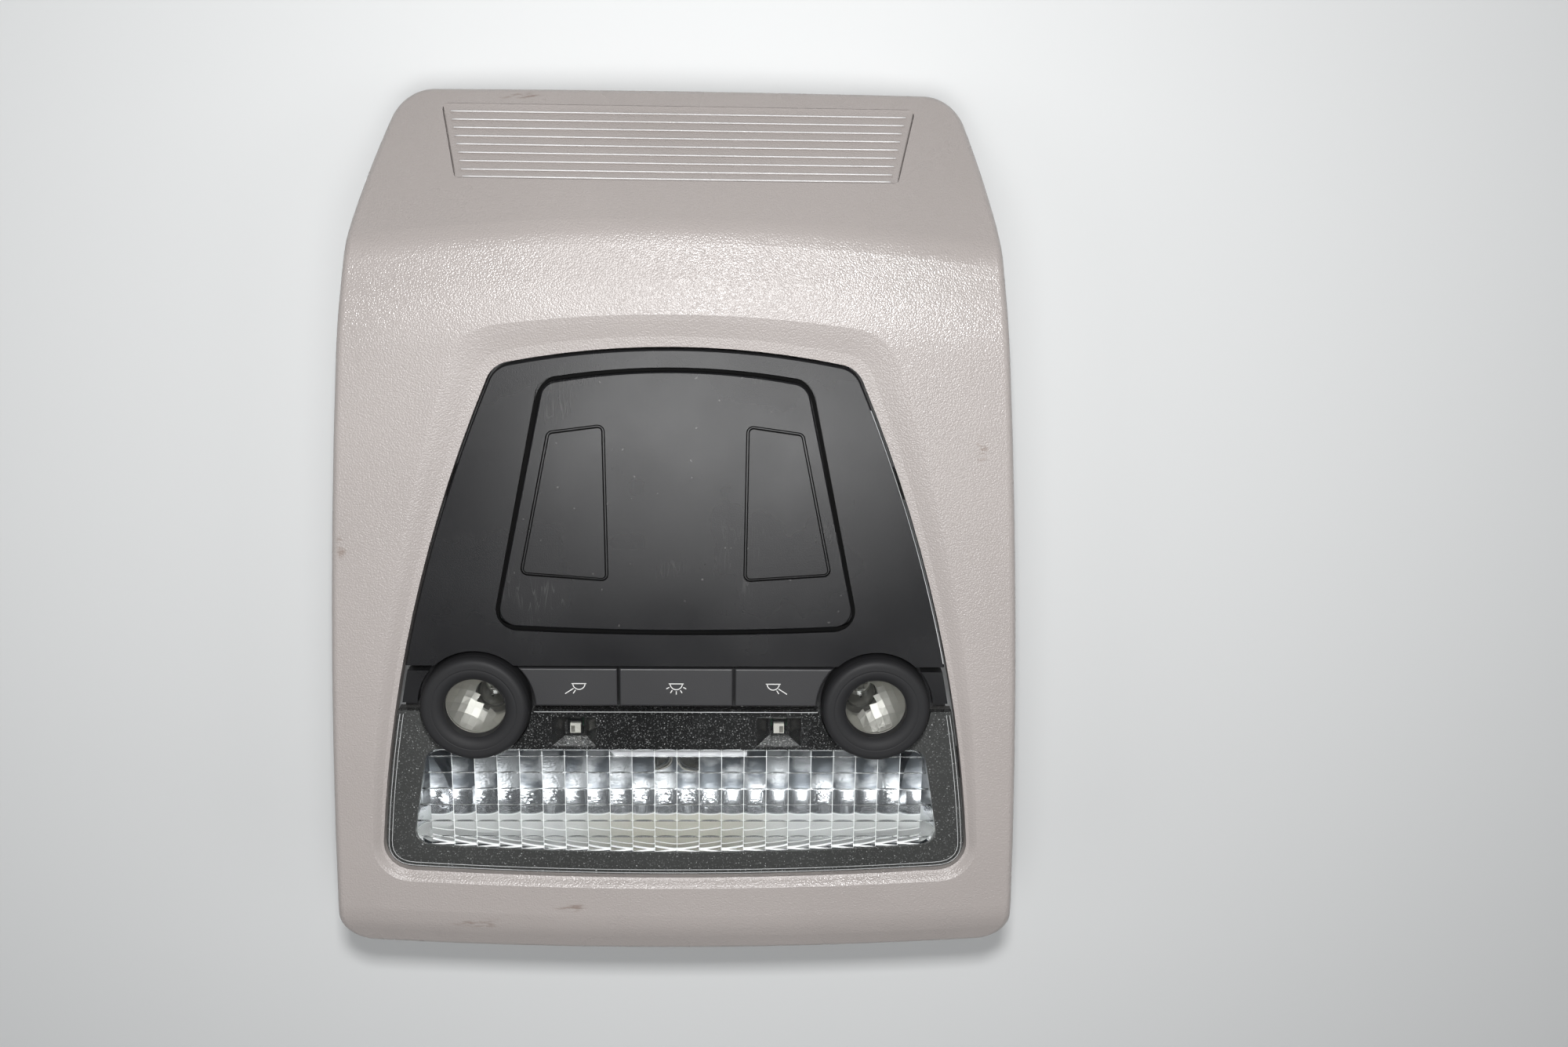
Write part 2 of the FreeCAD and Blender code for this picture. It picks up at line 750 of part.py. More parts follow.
def make_trim_cover():
    shell = cover_shell()
    under = FACE_Z - COVER_WALL / 2
    pad = slab(dish_face(1.0, DISH_PAD), UNIT_Z - COVER_WALL, under)
    pad = pad.common(bent_slab(COVER_WALL / 2, FACE_Z / 2))
    collar = slab(unit_face(COLLAR_WALL), FACE_Z - COLLAR_DEPTH, under)
    collar = collar.common(bent_slab(COVER_WALL / 2, FACE_Z / 2))
    bosses = [drum(x, y, BOSS_RADIUS, EAR_TOP, under) for x, y in ear_places()]
    towers = [tower(x, y) for x, y in tower_places()]
    body = fused(shell, [pad, collar] + bosses + towers + both(locating_pin()))
    recess = slab(louvre_face(), 0, FACE_Z + 1).common(bent_slab(-1, LOUVRE_DEPTH))
    body = body.cut(recess)
    body = fused(body, louvre_ribs())
    sections = [lifted_wire(dish_face(share), UNIT_Z + UNIT_SINK * rise) for share, rise in DISH_PROFILE]
    body = body.cut(loft(sections))
    body = body.cut(slab(unit_face(), 0, FACE_Z + 5))
    bore = SCREW_RADIUS + SCREW_PLAY
    holes = [drum(x, y, bore, EAR_TOP - 1, EAR_TOP + SCREW_REACH) for x, y in ear_places()]
    return body.cut(Part.makeCompound(holes)).removeSplitter()


def ring_cutter(clearance):
    reach = RING_RADIUS + clearance
    return [drum(x, READ_Y, reach, 0, FACE_Z + 10) for x in (read_x(), -read_x())]


def make_face_plate():
    face = unit_face(-UNIT_GAP)
    plate = bevelled_slab(unit_face, -UNIT_GAP, PLATE_BACK_Z, UNIT_Z, PLATE_BEVEL)
    skirt = ring_slab(face, unit_face(-UNIT_GAP - PLATE_SKIRT_WALL), SEAT_Z, PLATE_BACK_Z)
    keep = box(-FAR, FAR, PLATE_BOTTOM_Y, FAR, 0, FACE_Z)
    body = fused(plate, [skirt]).common(keep)
    body = body.cut(Part.makeCompound(ring_cutter(RING_GAP)))
    return body.cut(slab(blank_face(BLANK_GAP), 0, FACE_Z)).removeSplitter()


def groove_frame():
    points = [
        (GROOVE_TOP_IN_X, GROOVE_TOP_IN_Y),
        (GROOVE_TOP_OUT_X, GROOVE_TOP_OUT_Y),
        (GROOVE_LOW_OUT_X, GROOVE_LOW_OUT_Y),
        (GROOVE_LOW_IN_X, GROOVE_LOW_IN_Y),
    ]
    straight = [0, 0, 0, 0]
    radii = [GROOVE_WIDTH * 2] * 4
    inner = outline(points, straight, radii, -GROOVE_WIDTH)
    return ring_slab(outline(points, straight, radii), inner, UNIT_Z - GROOVE_DEPTH, UNIT_Z + 1)


def make_blanking_cover():
    body = bevelled_slab(blank_face, 0.0, PLATE_BACK_Z, UNIT_Z, BLANK_BEVEL)
    flange_z = PLATE_BACK_Z - BLANK_FLANGE_WALL
    flange = slab(blank_face(BLANK_FLANGE), flange_z, PLATE_BACK_Z)
    foot_x = BLANK_TOP_HALF - BLANK_CORNER
    feet = []
    for y in (BLANK_TOP_Y - BLANK_CORNER, BLANK_BOTTOM_Y + BLANK_CORNER):
        feet += both(drum(foot_x, y, BLANK_FLANGE, SEAT_Z, flange_z))
    body = fused(body, [flange] + feet)
    return body.cut(Part.makeCompound(both(groove_frame())))


def make_bezel():
    """Reading light ring in its own axes: Z = 0 is the lamp unit's face."""
    foot = SEAT_Z - UNIT_Z
    bore = TUBE_RADIUS - TUBE_WALL
    inner_edge = (RING_HOLE, RING_INNER_EDGE)
    crest = (RING_CREST_RADIUS, RING_CREST)
    outer_edge = (RING_RADIUS, RING_EDGE)
    return turned(
        [
            inner_edge,
            crest,
            outer_edge,
            (RING_RADIUS, foot),
            (TUBE_RADIUS, foot),
            (TUBE_RADIUS, -TUBE_LENGTH),
            (bore, -TUBE_LENGTH),
            (bore, -RING_LEDGE),
            (RING_HOLE, -RING_LEDGE),
        ],
        [
            (0, arc_middle(inner_edge, crest, RING_INNER_SWELL)),
            (1, arc_middle(crest, outer_edge, RING_OUTER_SWELL)),
        ],
    )


def make_reading_lens():
    radius = TUBE_RADIUS - TUBE_WALL
    return drum(0, 0, radius, -RING_LEDGE - READ_LENS_WALL, -RING_LEDGE)


def bowl_top():
    return -RING_LEDGE - READ_LENS_WALL


def spigot_end():
    """Level where the reading lamp's holder sits against the spigot of the bowl."""
    return bowl_top() - BOWL_DEPTH - SPIGOT_REACH


def bulb_hole():
    return BULB_RADIUS + HOLDER_CLEARANCE


def pointing_up(shape):
    """Turn a bulb or holder so that its tip looks along +Z."""
    shape.rotate(V(0, 0, 0), V(1, 0, 0), 180)
    return shape


def bowl(rim, floor_radius, top, depth):
    """Bowl that leaves its rim straight down and curves in to a flat floor."""
    centre = (rim ** 2 - floor_radius ** 2 - depth ** 2) / (2 * (rim - floor_radius))
    radius = rim - centre
    half_turn = math.atan2(depth, floor_radius - centre) / 2
    middle = (centre + radius * math.cos(half_turn), top - radius * math.sin(half_turn))
    return turned(
        [(0, top - depth), (floor_radius, top - depth), (rim, top), (0, top)],
        [(1, middle)],
    )


def make_reading_reflector(side):
    """Shallow bowl whose bulb stands beside its middle, towards the middle of the unit."""
    rim = TUBE_RADIUS - TUBE_WALL
    top = bowl_top()
    outer = bowl(rim, BOWL_FLOOR_RADIUS, top, BOWL_DEPTH)
    inner = bowl(rim - BOWL_WALL, BOWL_FLOOR_RADIUS - BOWL_WALL / 2, top, BOWL_DEPTH - BOWL_WALL)
    x = -side * READ_BULB_IN
    spigot = drum(x, 0, HOLDER_RADIUS, spigot_end(), top - BOWL_DEPTH / 2)
    passage = drum(x, 0, bulb_hole(), spigot_end() - 1, top)
    return fused(outer, [spigot]).cut(inner).cut(passage)


def make_bulb():
    """Wedge bulb along Z, glass tip at Z = 0 and the wedge base on the plus side."""
    tip = (0, 0)
    shoulder = (BULB_RADIUS, BULB_DOME)
    glass = turned(
        [tip, shoulder, (BULB_RADIUS, BULB_GLASS), (0, BULB_GLASS)],
        [(0, arc_middle(tip, shoulder, -BULB_DOME_SWELL))],
    )
    half = BULB_WEDGE_WIDTH / 2
    thin = BULB_WEDGE_WALL / 2
    wedge = box(-half, half, -thin, thin, BULB_GLASS, BULB_GLASS + BULB_WEDGE)
    return fused(glass, [wedge])


def make_holder():
    """Holder along Z: front flange at Z = 0, with a well for the bulb and a slot for its wedge."""
    body = drum(0, 0, HOLDER_RADIUS, 0, HOLDER_LENGTH)
    flange = drum(0, 0, HOLDER_RADIUS + HOLDER_FLANGE, 0, HOLDER_FLANGE_WALL)
    wide = HOLDER_GRIP_WIDTH / 2
    thick = HOLDER_GRIP_WALL / 2
    grip = box(-wide, wide, -thick, thick, HOLDER_LENGTH, HOLDER_LENGTH + HOLDER_GRIP)
    body = fused(body, [flange, grip])
    half = BULB_WEDGE_WIDTH / 2 + HOLDER_CLEARANCE
    thin = BULB_WEDGE_WALL / 2 + HOLDER_CLEARANCE
    slot_end = HOLDER_LENGTH - HOLDER_FLOOR
    seat = slot_end - BULB_WEDGE
    well = drum(0, 0, BULB_RADIUS + HOLDER_CLEARANCE, -1, seat)
    return body.cut(well).cut(box(-half, half, -thin, thin, seat - 1, slot_end))


def bulb_tip():
    """How far the bulb's tip stands in front of its holder's flange."""
    return BULB_GLASS + BULB_WEDGE - (HOLDER_LENGTH - HOLDER_FLOOR)


def make_reading_bulb(side):
    bulb = pointing_up(make_bulb())
    bulb.translate(V(-side * READ_BULB_IN, 0, spigot_end() + bulb_tip()))
    return bulb


def make_reading_holder(side):
    holder = pointing_up(make_holder())
    holder.translate(V(-side * READ_BULB_IN, 0, spigot_end()))
    return holder


def button_face(x0, x1):
    return polygon(
        [
            (x0, BUTTON_LOW_Y, 0),
            (x1, BUTTON_LOW_Y, 0),
            (x1, BUTTON_TOP_Y, 0),
            (x0, BUTTON_TOP_Y, 0),
        ]
    )


def make_button(x0, x1, neck_x):
    floor = SEAT_Z + SWITCH_FRAME_WALL + BUTTON_TRAVEL + BUTTON_STOP_GAP
    crown = UNIT_Z + BUTTON_PROUD
    cap = slab(button_face(x0, x1), floor, crown)
    cap = cap.cut(Part.makeCompound(ring_cutter(BUTTON_RING_GAP)))
    rim = [edge for edge in cap.Edges if edge.BoundBox.ZMin > crown - 1e-6]
    cap = cap.makeFillet(BUTTON_ROUND, rim)
    half = NECK_WIDTH / 2
    tall = NECK_HEIGHT / 2
    lug_top = SEAT_Z - LUG_GAP
    neck_low = lug_top - LUG_WALL
    neck = box(neck_x - half, neck_x + half, BUTTON_MID_Y - tall, BUTTON_MID_Y + tall, neck_low, floor)
    lugs = box(
        neck_x - half - LUG_REACH,
        neck_x + half + LUG_REACH,
        BUTTON_MID_Y - tall / 2,
        BUTTON_MID_Y + tall / 2,
        neck_low,
        lug_top,
    )
    stem = drum(neck_x, BUTTON_MID_Y, STEM_RADIUS, DOME_Z + STEM_GAP, neck_low)
    return fused(cap, [neck, lugs, stem])


def side_button():
    inner = BUTTON_CENTRE_HALF + BUTTON_SPLIT
    return make_button(inner, read_x() - RING_HOLE, SIDE_NECK_X)


def neck_centres():
    return (-SIDE_NECK_X, 0.0, SIDE_NECK_X)


def strip_face():
    return unit_face(-UNIT_GAP - END_BLOCK_EDGE_GAP)


def make_switch_frame():
    top = PLATE_BOTTOM_Y - UNIT_GAP / 2
    low = LENS_TOP_Y + SWITCH_FRAME_BELOW / 2
    strip = box(-read_x(), read_x(), low, top, SEAT_Z, SEAT_Z + SWITCH_FRAME_WALL)
    body = strip.cut(Part.makeCompound(ring_cutter(RING_GAP)))
    half = NECK_WIDTH / 2 + NECK_CLEARANCE
    tall = NECK_HEIGHT / 2 + NECK_CLEARANCE
    low_y = BUTTON_MID_Y - tall
    high_y = BUTTON_MID_Y + tall
    openings = [box(x - half, x + half, low_y, high_y, 0, FACE_Z) for x in neck_centres()]
    return body.cut(Part.makeCompound(openings))


def make_end_block():
    top = PLATE_BOTTOM_Y - END_BLOCK_TOP_GAP
    body = slab(strip_face(), SEAT_Z, UNIT_Z - END_BLOCK_SINK)
    body = body.common(box(read_x(), FAR, top - END_BLOCK_HEIGHT, top, 0, FACE_Z))
    return body.cut(Part.makeCompound(ring_cutter(RING_GAP)))


def below_lens_top(shape):
    return shape.common(box(-FAR, FAR, -FAR, LENS_TOP_Y, 0, FACE_Z))


def fluted_block():
    """Clear block along Y whose back is a row of round flutes, side by side along X."""
    back = LENS_BACK_Z - OPTIC_DEPTH
    front = LENS_BACK_Z + 1
    count = int(window_low_half() // FLUTE_PITCH) + 1
    edges = []
    for index in range(-count, count):
        x0 = index * FLUTE_PITCH
        x1 = x0 + FLUTE_PITCH
        mid = V((x0 + x1) / 2, 0, back - FLUTE_HEIGHT)
        edges.append(Part.Arc(V(x0, 0, back), mid, V(x1, 0, back)).toShape())
    end = count * FLUTE_PITCH
    edges.append(Part.makeLine(V(end, 0, back), V(end, 0, front)))
    edges.append(Part.makeLine(V(end, 0, front), V(-end, 0, front)))
    edges.append(Part.makeLine(V(-end, 0, front), V(-end, 0, back)))
    face = Part.Face(Part.Wire(edges))
    face.translate(V(0, -FAR / 2, 0))
    return face.extrude(V(0, FAR, 0))


def row_lines():
    """Thin cuts across the flutes that part them into rows."""
    back = LENS_BACK_Z - OPTIC_DEPTH
    first = WINDOW_TOP_Y - ROW_FIRST_DROP
    count = int((first - WINDOW_BOTTOM_Y) // ROW_PITCH) + 1
    half = ROW_LINE / 2
    lines = []
    for index in range(count):
        y = first - index * ROW_PITCH
        lines.append(box(-FAR, FAR, y - half, y + half, back - OPTIC_DEPTH, back))
    return Part.makeCompound(lines)


def make_lens():
    plate = below_lens_top(bevelled_slab(unit_face, -UNIT_GAP, LENS_BACK_Z, UNIT_Z, LENS_BEVEL))
    optic = slab(window_face(-OPTIC_GAP), 0, LENS_BACK_Z + 1).common(fluted_block()).cut(row_lines())
    body = fused(plate, [optic])
    return body.cut(Part.makeCompound(ring_cutter(RING_GAP / 2)))


def funnel_box():
    wall = FUNNEL_WALL
    return box(
        FUNNEL_IN_X - wall,
        FUNNEL_OUT_X + wall,
        FUNNEL_LOW_Y - wall,
        FUNNEL_TOP_Y + wall,
        LENS_BACK_Z - FUNNEL_DEPTH,
        MASK_BACK_Z + MASK_WALL / 2,
    )


def funnel_hole():
    half = FUNNEL_HOLE / 2
    bottom = LENS_BACK_Z - FUNNEL_DEPTH - FUNNEL_OVERRUN
    mouth = polygon(
        [
            (FUNNEL_IN_X, FUNNEL_LOW_Y, LENS_BACK_Z),
            (FUNNEL_OUT_X, FUNNEL_LOW_Y, LENS_BACK_Z),
            (FUNNEL_OUT_X, FUNNEL_TOP_Y, LENS_BACK_Z),
            (FUNNEL_IN_X, FUNNEL_TOP_Y, LENS_BACK_Z),
        ]
    )
    throat = polygon(
        [
            (LED_X - half, LED_Y - half, bottom),
            (LED_X + half, LED_Y - half, bottom),
            (LED_X + half, LED_Y + half, bottom),
            (LED_X - half, LED_Y + half, bottom),
        ]
    )
    return loft([throat.OuterWire, mouth.OuterWire])


def mask_sheet():
    sheet = below_lens_top(slab(unit_face(-UNIT_GAP), MASK_BACK_Z, LENS_BACK_Z))
    sheet = sheet.cut(slab(window_face(), 0, FACE_Z))
    return sheet.cut(Part.makeCompound(ring_cutter(RING_GAP / 2)))


def make_mask():
    """Dark frame left, right and below the window."""
    return mask_sheet().cut(box(-read_x(), read_x(), WINDOW_TOP_Y, FAR, 0, FACE_Z))


def make_funnel_bar():
    """Dark bar above the window, between the reading lights, with a funnel for each small light."""
    bar = mask_sheet().common(box(-read_x(), read_x(), WINDOW_TOP_Y, FAR, 0, FACE_Z))
    body = fused(bar, both(funnel_box()))
    body = body.cut(Part.makeCompound(both(funnel_hole()) + ring_cutter(RING_GAP / 2)))
    clear_y = WINDOW_TOP_Y + REFLECTOR_WALL + DECK_CLEARANCE
    return body.cut(box(-FAR, FAR, -FAR, clear_y, 0, MASK_BACK_Z))


def reflector_floor_z():
    return MASK_BACK_Z - REFLECTOR_DEPTH


def reflector_block(grow):
    """Window outline carried back from the mask and drawn in, rounded to a trough along X.

    The trough is lowest under the bulb and meets the lower wall behind the window's edge.
    """
    mouth = window_face(grow)
    floor = window_face(grow - REFLECTOR_TAPER)
    floor_z = reflector_floor_z() - REFLECTOR_WALL
    block = loft([lifted_wire(floor, floor_z), lifted_wire(mouth, MASK_BACK_Z)])
    axis = V(-FAR / 2, MAIN_BULB_Y, reflector_floor_z() + TROUGH_RADIUS)
    return block.common(Part.makeCylinder(TROUGH_RADIUS + grow, FAR, axis, V(1, 0, 0)))


def main_holder_z():
    return reflector_floor_z() - MAIN_SPIGOT


def visor():
    """Small ledge that hides the bulb's foot from above."""
    low = MASK_BACK_Z - VISOR_DROP
    high = WINDOW_TOP_Y + REFLECTOR_WALL / 2
    return box(-VISOR_HALF, VISOR_HALF, WINDOW_TOP_Y - VISOR_REACH, high, low - VISOR_WALL, low)


def make_main_reflector():
    outer = reflector_block(REFLECTOR_WALL)
    inner = reflector_block(0)
    spigot = drum(0, MAIN_BULB_Y, HOLDER_RADIUS, main_holder_z(), reflector_floor_z())
    hole = drum(0, MAIN_BULB_Y, bulb_hole(), 0, reflector_floor_z() + REFLECTOR_DEPTH / 2)
    body = fused(outer, [spigot]).cut(inner).cut(hole)
    return fused(body, [visor()])


def make_main_bulb():
    bulb = pointing_up(make_bulb())
    bulb.translate(V(0, MAIN_BULB_Y, main_holder_z() + bulb_tip()))
    return bulb


def make_main_holder():
    holder = pointing_up(make_holder())
    holder.translate(V(0, MAIN_BULB_Y, main_holder_z()))
    return holder


def make_led():
    half = LED_SIZE / 2
    top = LENS_BACK_Z - FUNNEL_DEPTH + LED_INSET
    return box(LED_X - half, LED_X + half, LED_Y - half, LED_Y + half, BOARD_Z, top)


def lid_boss_places():
    low_x = unit_half(LID_BOSS_LOW_Y) - LID_BOSS_MARGIN
    high = [(LID_BOSS_HIGH_X, LID_BOSS_HIGH_Y), (-LID_BOSS_HIGH_X, LID_BOSS_HIGH_Y)]
    low = [(low_x, LID_BOSS_LOW_Y), (-low_x, LID_BOSS_LOW_Y)]
    return high + low


def post_places():
    return [(x, y) for x in (POST_X, -POST_X) for y in (POST_HIGH_Y, POST_LOW_Y)]


def carrier_face(inset=0.0):
    return unit_face(-UNIT_GAP - CARRIER_INSET - inset)


def ear(x, y):
    inside = math.copysign(unit_half(y) - UNIT_GAP - CARRIER_INSET - CARRIER_WALL / 2, x)
    x0, x1 = sorted((inside, x))
    half = EAR_WIDTH / 2
    arm = box(x0, x1, y - half, y + half, EAR_TOP - EAR_WALL, EAR_TOP)
    return arm.fuse(drum(x, y, half, EAR_TOP - EAR_WALL, EAR_TOP))


def deck_holes():
    slack = DECK_CLEARANCE
    half = SIDE_NECK_X + NECK_WIDTH / 2 + LUG_REACH + slack
    tall = NECK_HEIGHT / 2 + slack
    switch = box(-half, half, BUTTON_MID_Y - tall, BUTTON_MID_Y + tall, 0, FACE_Z)
    tubes = [drum(x, READ_Y, TUBE_RADIUS + slack / 2, 0, FACE_Z) for x in (read_x(), -read_x())]
    funnel = box(
        FUNNEL_IN_X - FUNNEL_WALL - slack,
        FUNNEL_OUT_X + FUNNEL_WALL + slack,
        FUNNEL_LOW_Y - FUNNEL_WALL - slack,
        FUNNEL_TOP_Y + FUNNEL_WALL + slack,
        0,
        FACE_Z,
    )
    return [switch, slab(window_face(REFLECTOR_WALL + slack), 0, FACE_Z)] + tubes + both(funnel)


def make_carrier():
    face = carrier_face()
    deck = slab(face, DECK_Z, SEAT_Z).cut(Part.makeCompound(deck_holes()))
    wall = ring_slab(face, carrier_face(CARRIER_WALL), LID_WALL, SEAT_Z)
    inside = slab(carrier_face(CARRIER_WALL / 2), LID_WALL, BOSS_TOP)
    bosses = [drum(x, y, BOSS_RADIUS, LID_WALL, BOSS_TOP).common(inside) for x, y in lid_boss_places()]
    posts = [drum(x, y, POST_RADIUS, BOARD_Z, DECK_Z) for x, y in post_places()]
    body = fused(deck, [wall] + bosses + posts + [ear(x, y) for x, y in ear_places()])
    bore = SCREW_RADIUS + SCREW_PLAY
    holes = [drum(x, y, bore, 0, LID_WALL + SCREW_REACH) for x, y in lid_boss_places()]
    holes += [drum(x, y, bore, BOARD_Z - 1, BOARD_Z + POST_BORE) for x, y in post_places()]
    holes += [drum(x, y, bore, 0, EAR_TOP + 1) for x, y in ear_places()]
    return body.cut(Part.makeCompound(holes))


def make_board():
    wide = box(-BOARD_WIDE_HALF, BOARD_WIDE_HALF, BOARD_STEP_Y, BOARD_TOP_Y, BOARD_Z - BOARD_WALL, BOARD_Z)
    narrow = box(
        -BOARD_NARROW_HALF,
        BOARD_NARROW_HALF,
        BOARD_LOW_Y,
        BOARD_STEP_Y + 1,
        BOARD_Z - BOARD_WALL,
        BOARD_Z,
    )
    bore = SCREW_RADIUS + SCREW_PLAY
    holes = [drum(x, y, bore, 0, FACE_Z) for x, y in post_places()]
    return fused(wide, [narrow]).cut(Part.makeCompound(holes))


def make_mat():
    tall = NECK_HEIGHT / 2 + MAT_MARGIN
    base = box(-MAT_HALF, MAT_HALF, BUTTON_MID_Y - tall, BUTTON_MID_Y + tall, BOARD_Z, BOARD_Z + MAT_BASE)
    domes = []
    for x in neck_centres():
        dome = Part.makeCone(DOME_RADIUS, DOME_TIP_RADIUS, DOME_HEIGHT)
        dome.translate(V(x, BUTTON_MID_Y, BOARD_Z + MAT_BASE))
        domes.append(dome)
    return base, domes


def make_socket():
    board_back = BOARD_Z - BOARD_WALL
    mouth = board_back - SOCKET_HEIGHT
    body = box(
        -SOCKET_HALF_X,
        SOCKET_HALF_X,
        SOCKET_Y - SOCKET_HALF_Y,
        SOCKET_Y + SOCKET_HALF_Y,
        mouth,
        board_back,
    )
    inside_x = SOCKET_HALF_X - SOCKET_WALL
    inside_y = SOCKET_HALF_Y - SOCKET_WALL
    return body.cut(
        box(
            -inside_x,
            inside_x,
            SOCKET_Y - inside_y,
            SOCKET_Y + inside_y,
            mouth - 1,
            board_back - SOCKET_FLOOR,
        )
    )


def make_socket_pins():
    top = BOARD_Z - BOARD_WALL - SOCKET_FLOOR
    half = SOCKET_PIN / 2
    pins = []
    for row in (-0.5, 0.5):
        y = SOCKET_Y + row * SOCKET_ROW_PITCH
        for index in range(SOCKET_PIN_COUNT):
            x = (index - (SOCKET_PIN_COUNT - 1) / 2) * SOCKET_PIN_PITCH
            pins.append(box(x - half, x + half, y - half, y + half, top - SOCKET_PIN_REACH, top))
    return Part.makeCompound(pins)


def make_lid():
    plate = slab(carrier_face(), 0, LID_WALL)
    lip_inset = CARRIER_WALL + LID_CLEARANCE
    lip_inner = carrier_face(lip_inset + LID_LIP_WALL)
    lip = ring_slab(carrier_face(lip_inset), lip_inner, LID_WALL, LID_WALL + LID_LIP)
    keep_off = [drum(x, y, BOSS_RADIUS + LID_CLEARANCE, LID_WALL, FACE_Z) for x, y in lid_boss_places()]
    body = fused(plate, [lip.cut(Part.makeCompound(keep_off))])
    margin = SOCKET_HOLE_MARGIN
    cuts = [
        box(
            -SOCKET_HALF_X - margin,
            SOCKET_HALF_X + margin,
            SOCKET_Y - SOCKET_HALF_Y - margin,
            SOCKET_Y + SOCKET_HALF_Y + margin,
            -1,
            LID_WALL + 1,
        )
    ]
    for index in range(VENT_COUNT):
        y = VENT_Y + (index - (VENT_COUNT - 1) / 2) * VENT_PITCH
        cuts.append(box(-VENT_LENGTH, VENT_LENGTH, y - VENT_WIDTH / 2, y + VENT_WIDTH / 2, -1, LID_WALL + 1))
    for x, y in lid_boss_places():
        cuts.append(drum(x, y, SCREW_RADIUS + SCREW_PLAY, -1, LID_WALL + 1))
        cuts.append(drum(x, y, SCREW_HEAD_RADIUS + 2 * SCREW_PLAY, -1, SCREW_HEAD))
    return body.cut(Part.makeCompound(cuts))


def screw(x, y, head_z):
    """Screw driven along +Z with the underside of its head at head_z."""
    head = drum(x, y, SCREW_HEAD_RADIUS, head_z - SCREW_HEAD, head_z)
    shank = drum(x, y, SCREW_RADIUS, head_z, head_z + SCREW_REACH)
    long = SCREW_SLOT_LENGTH / 2
    thin = SCREW_SLOT_WIDTH / 2
    slot = box(x - long, x + long, y - thin, y + thin, head_z - SCREW_HEAD - 1, head_z - SCREW_HEAD / 2)
    return head.fuse(shank).cut(slot)


def make_lid_screws():
    return Part.makeCompound([screw(x, y, SCREW_HEAD) for x, y in lid_boss_places()])


def make_cover_screws():
    return Part.makeCompound([screw(x, y, EAR_TOP - EAR_WALL) for x, y in ear_places()])


def make_board_screws():
    back = BOARD_Z - BOARD_WALL
    screws = []
    for x, y in post_places():
        head = drum(x, y, SCREW_HEAD_RADIUS, back - SCREW_HEAD, back)
        screws.append(head.fuse(drum(x, y, SCREW_RADIUS, back, BOARD_Z + POST_GRIP)))
    return Part.makeCompound(screws)


def clip(x, y):
    """Spring clip folded over a tower: a saddle with two legs that bow outwards."""
    inner = TOWER_WALL / 2
    outer = inner + CLIP_SHEET
    low = TOWER_TIP - CLIP_SHEET
    top = TOWER_TIP + CLIP_LENGTH
    knee = TOWER_TIP + CLIP_KNEE
    bulge = outer + CLIP_BULGE
    leg = [
        (inner, TOWER_TIP),
        (inner, low),
        (outer, low),
        (bulge, knee),
        (outer + CLIP_SHEET, top),
        (outer, top),
        (bulge - CLIP_SHEET, knee),
        (outer, TOWER_TIP),
    ]
    half = CLIP_WIDTH / 2
    right = polygon([(x - half, y + across, z) for across, z in leg]).extrude(V(CLIP_WIDTH, 0, 0))
    left = polygon([(x - half, y - across, z) for across, z in leg]).extrude(V(CLIP_WIDTH, 0, 0))
    saddle = box(x - half, x + half, y - inner, y + inner, low, TOWER_TIP)
    return fused(saddle, [right, left])


def make_clips():
    return Part.makeCompound([clip(x, y) for x, y in tower_places()])


def at_reading_light(shape, side):
    placed = shape.copy()
    placed.translate(V(side * read_x(), READ_Y, UNIT_Z))
    return placed


def save(name, shape):
    shape.exportStep("parts/" + name + ".step")


def main():
    os.makedirs("parts", exist_ok=True)
    save("trim_cover", make_trim_cover())
    save("face_plate", make_face_plate())
    save("blanking_cover", make_blanking_cover())
    save("switch_frame", make_switch_frame())
    save("end_block_right", make_end_block())
    save("end_block_left", mirrored(make_end_block()))
    save("button_centre", make_button(-BUTTON_CENTRE_HALF, BUTTON_CENTRE_HALF, 0.0))
    save("button_right", side_button())
    save("button_left", mirrored(side_button()))
    for name, side in (("left", -1), ("right", 1)):
        save("reading_bezel_" + name, at_reading_light(make_bezel(), side))
        save("reading_lens_" + name, at_reading_light(make_reading_lens(), side))
        save("reading_reflector_" + name, at_reading_light(make_reading_reflector(side), side))
        save("reading_bulb_" + name, at_reading_light(make_reading_bulb(side), side))
        save("reading_holder_" + name, at_reading_light(make_reading_holder(side), side))
    save("lens", make_lens())
    save("lens_mask", make_mask())
    save("funnel_bar", make_funnel_bar())
    save("main_reflector", make_main_reflector())
    save("main_bulb", make_main_bulb())
    save("main_holder", make_main_holder())
    save("ambient_led_right", make_led())
    save("ambient_led_left", mirrored(make_led()))
    save("carrier", make_carrier())
    save("circuit_board", make_board())
    mat, domes = make_mat()
    save("switch_mat", mat)
    for name, dome in zip(("left", "centre", "right"), domes):
        save("snap_dome_" + name, dome)
    save("wiring_socket", make_socket())
    save("socket_pins", make_socket_pins())
    save("rear_lid", make_lid())
    save("lid_screws", make_lid_screws())
    save("cover_screws", make_cover_screws())
    save("board_screws", make_board_screws())
    save("spring_clips", make_clips())


main()
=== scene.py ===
"""Looks of an overhead car interior light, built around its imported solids.

The light lies on its back: +Z is the way it shines, +Y runs towards the louvre. Sizes in the classes are in
millimetres and are turned into metres where a mesh, a lamp or a material is made.
"""

from __future__ import annotations

import json
import logging
import math
from dataclasses import dataclass, field
from enum import Enum
from typing import Union

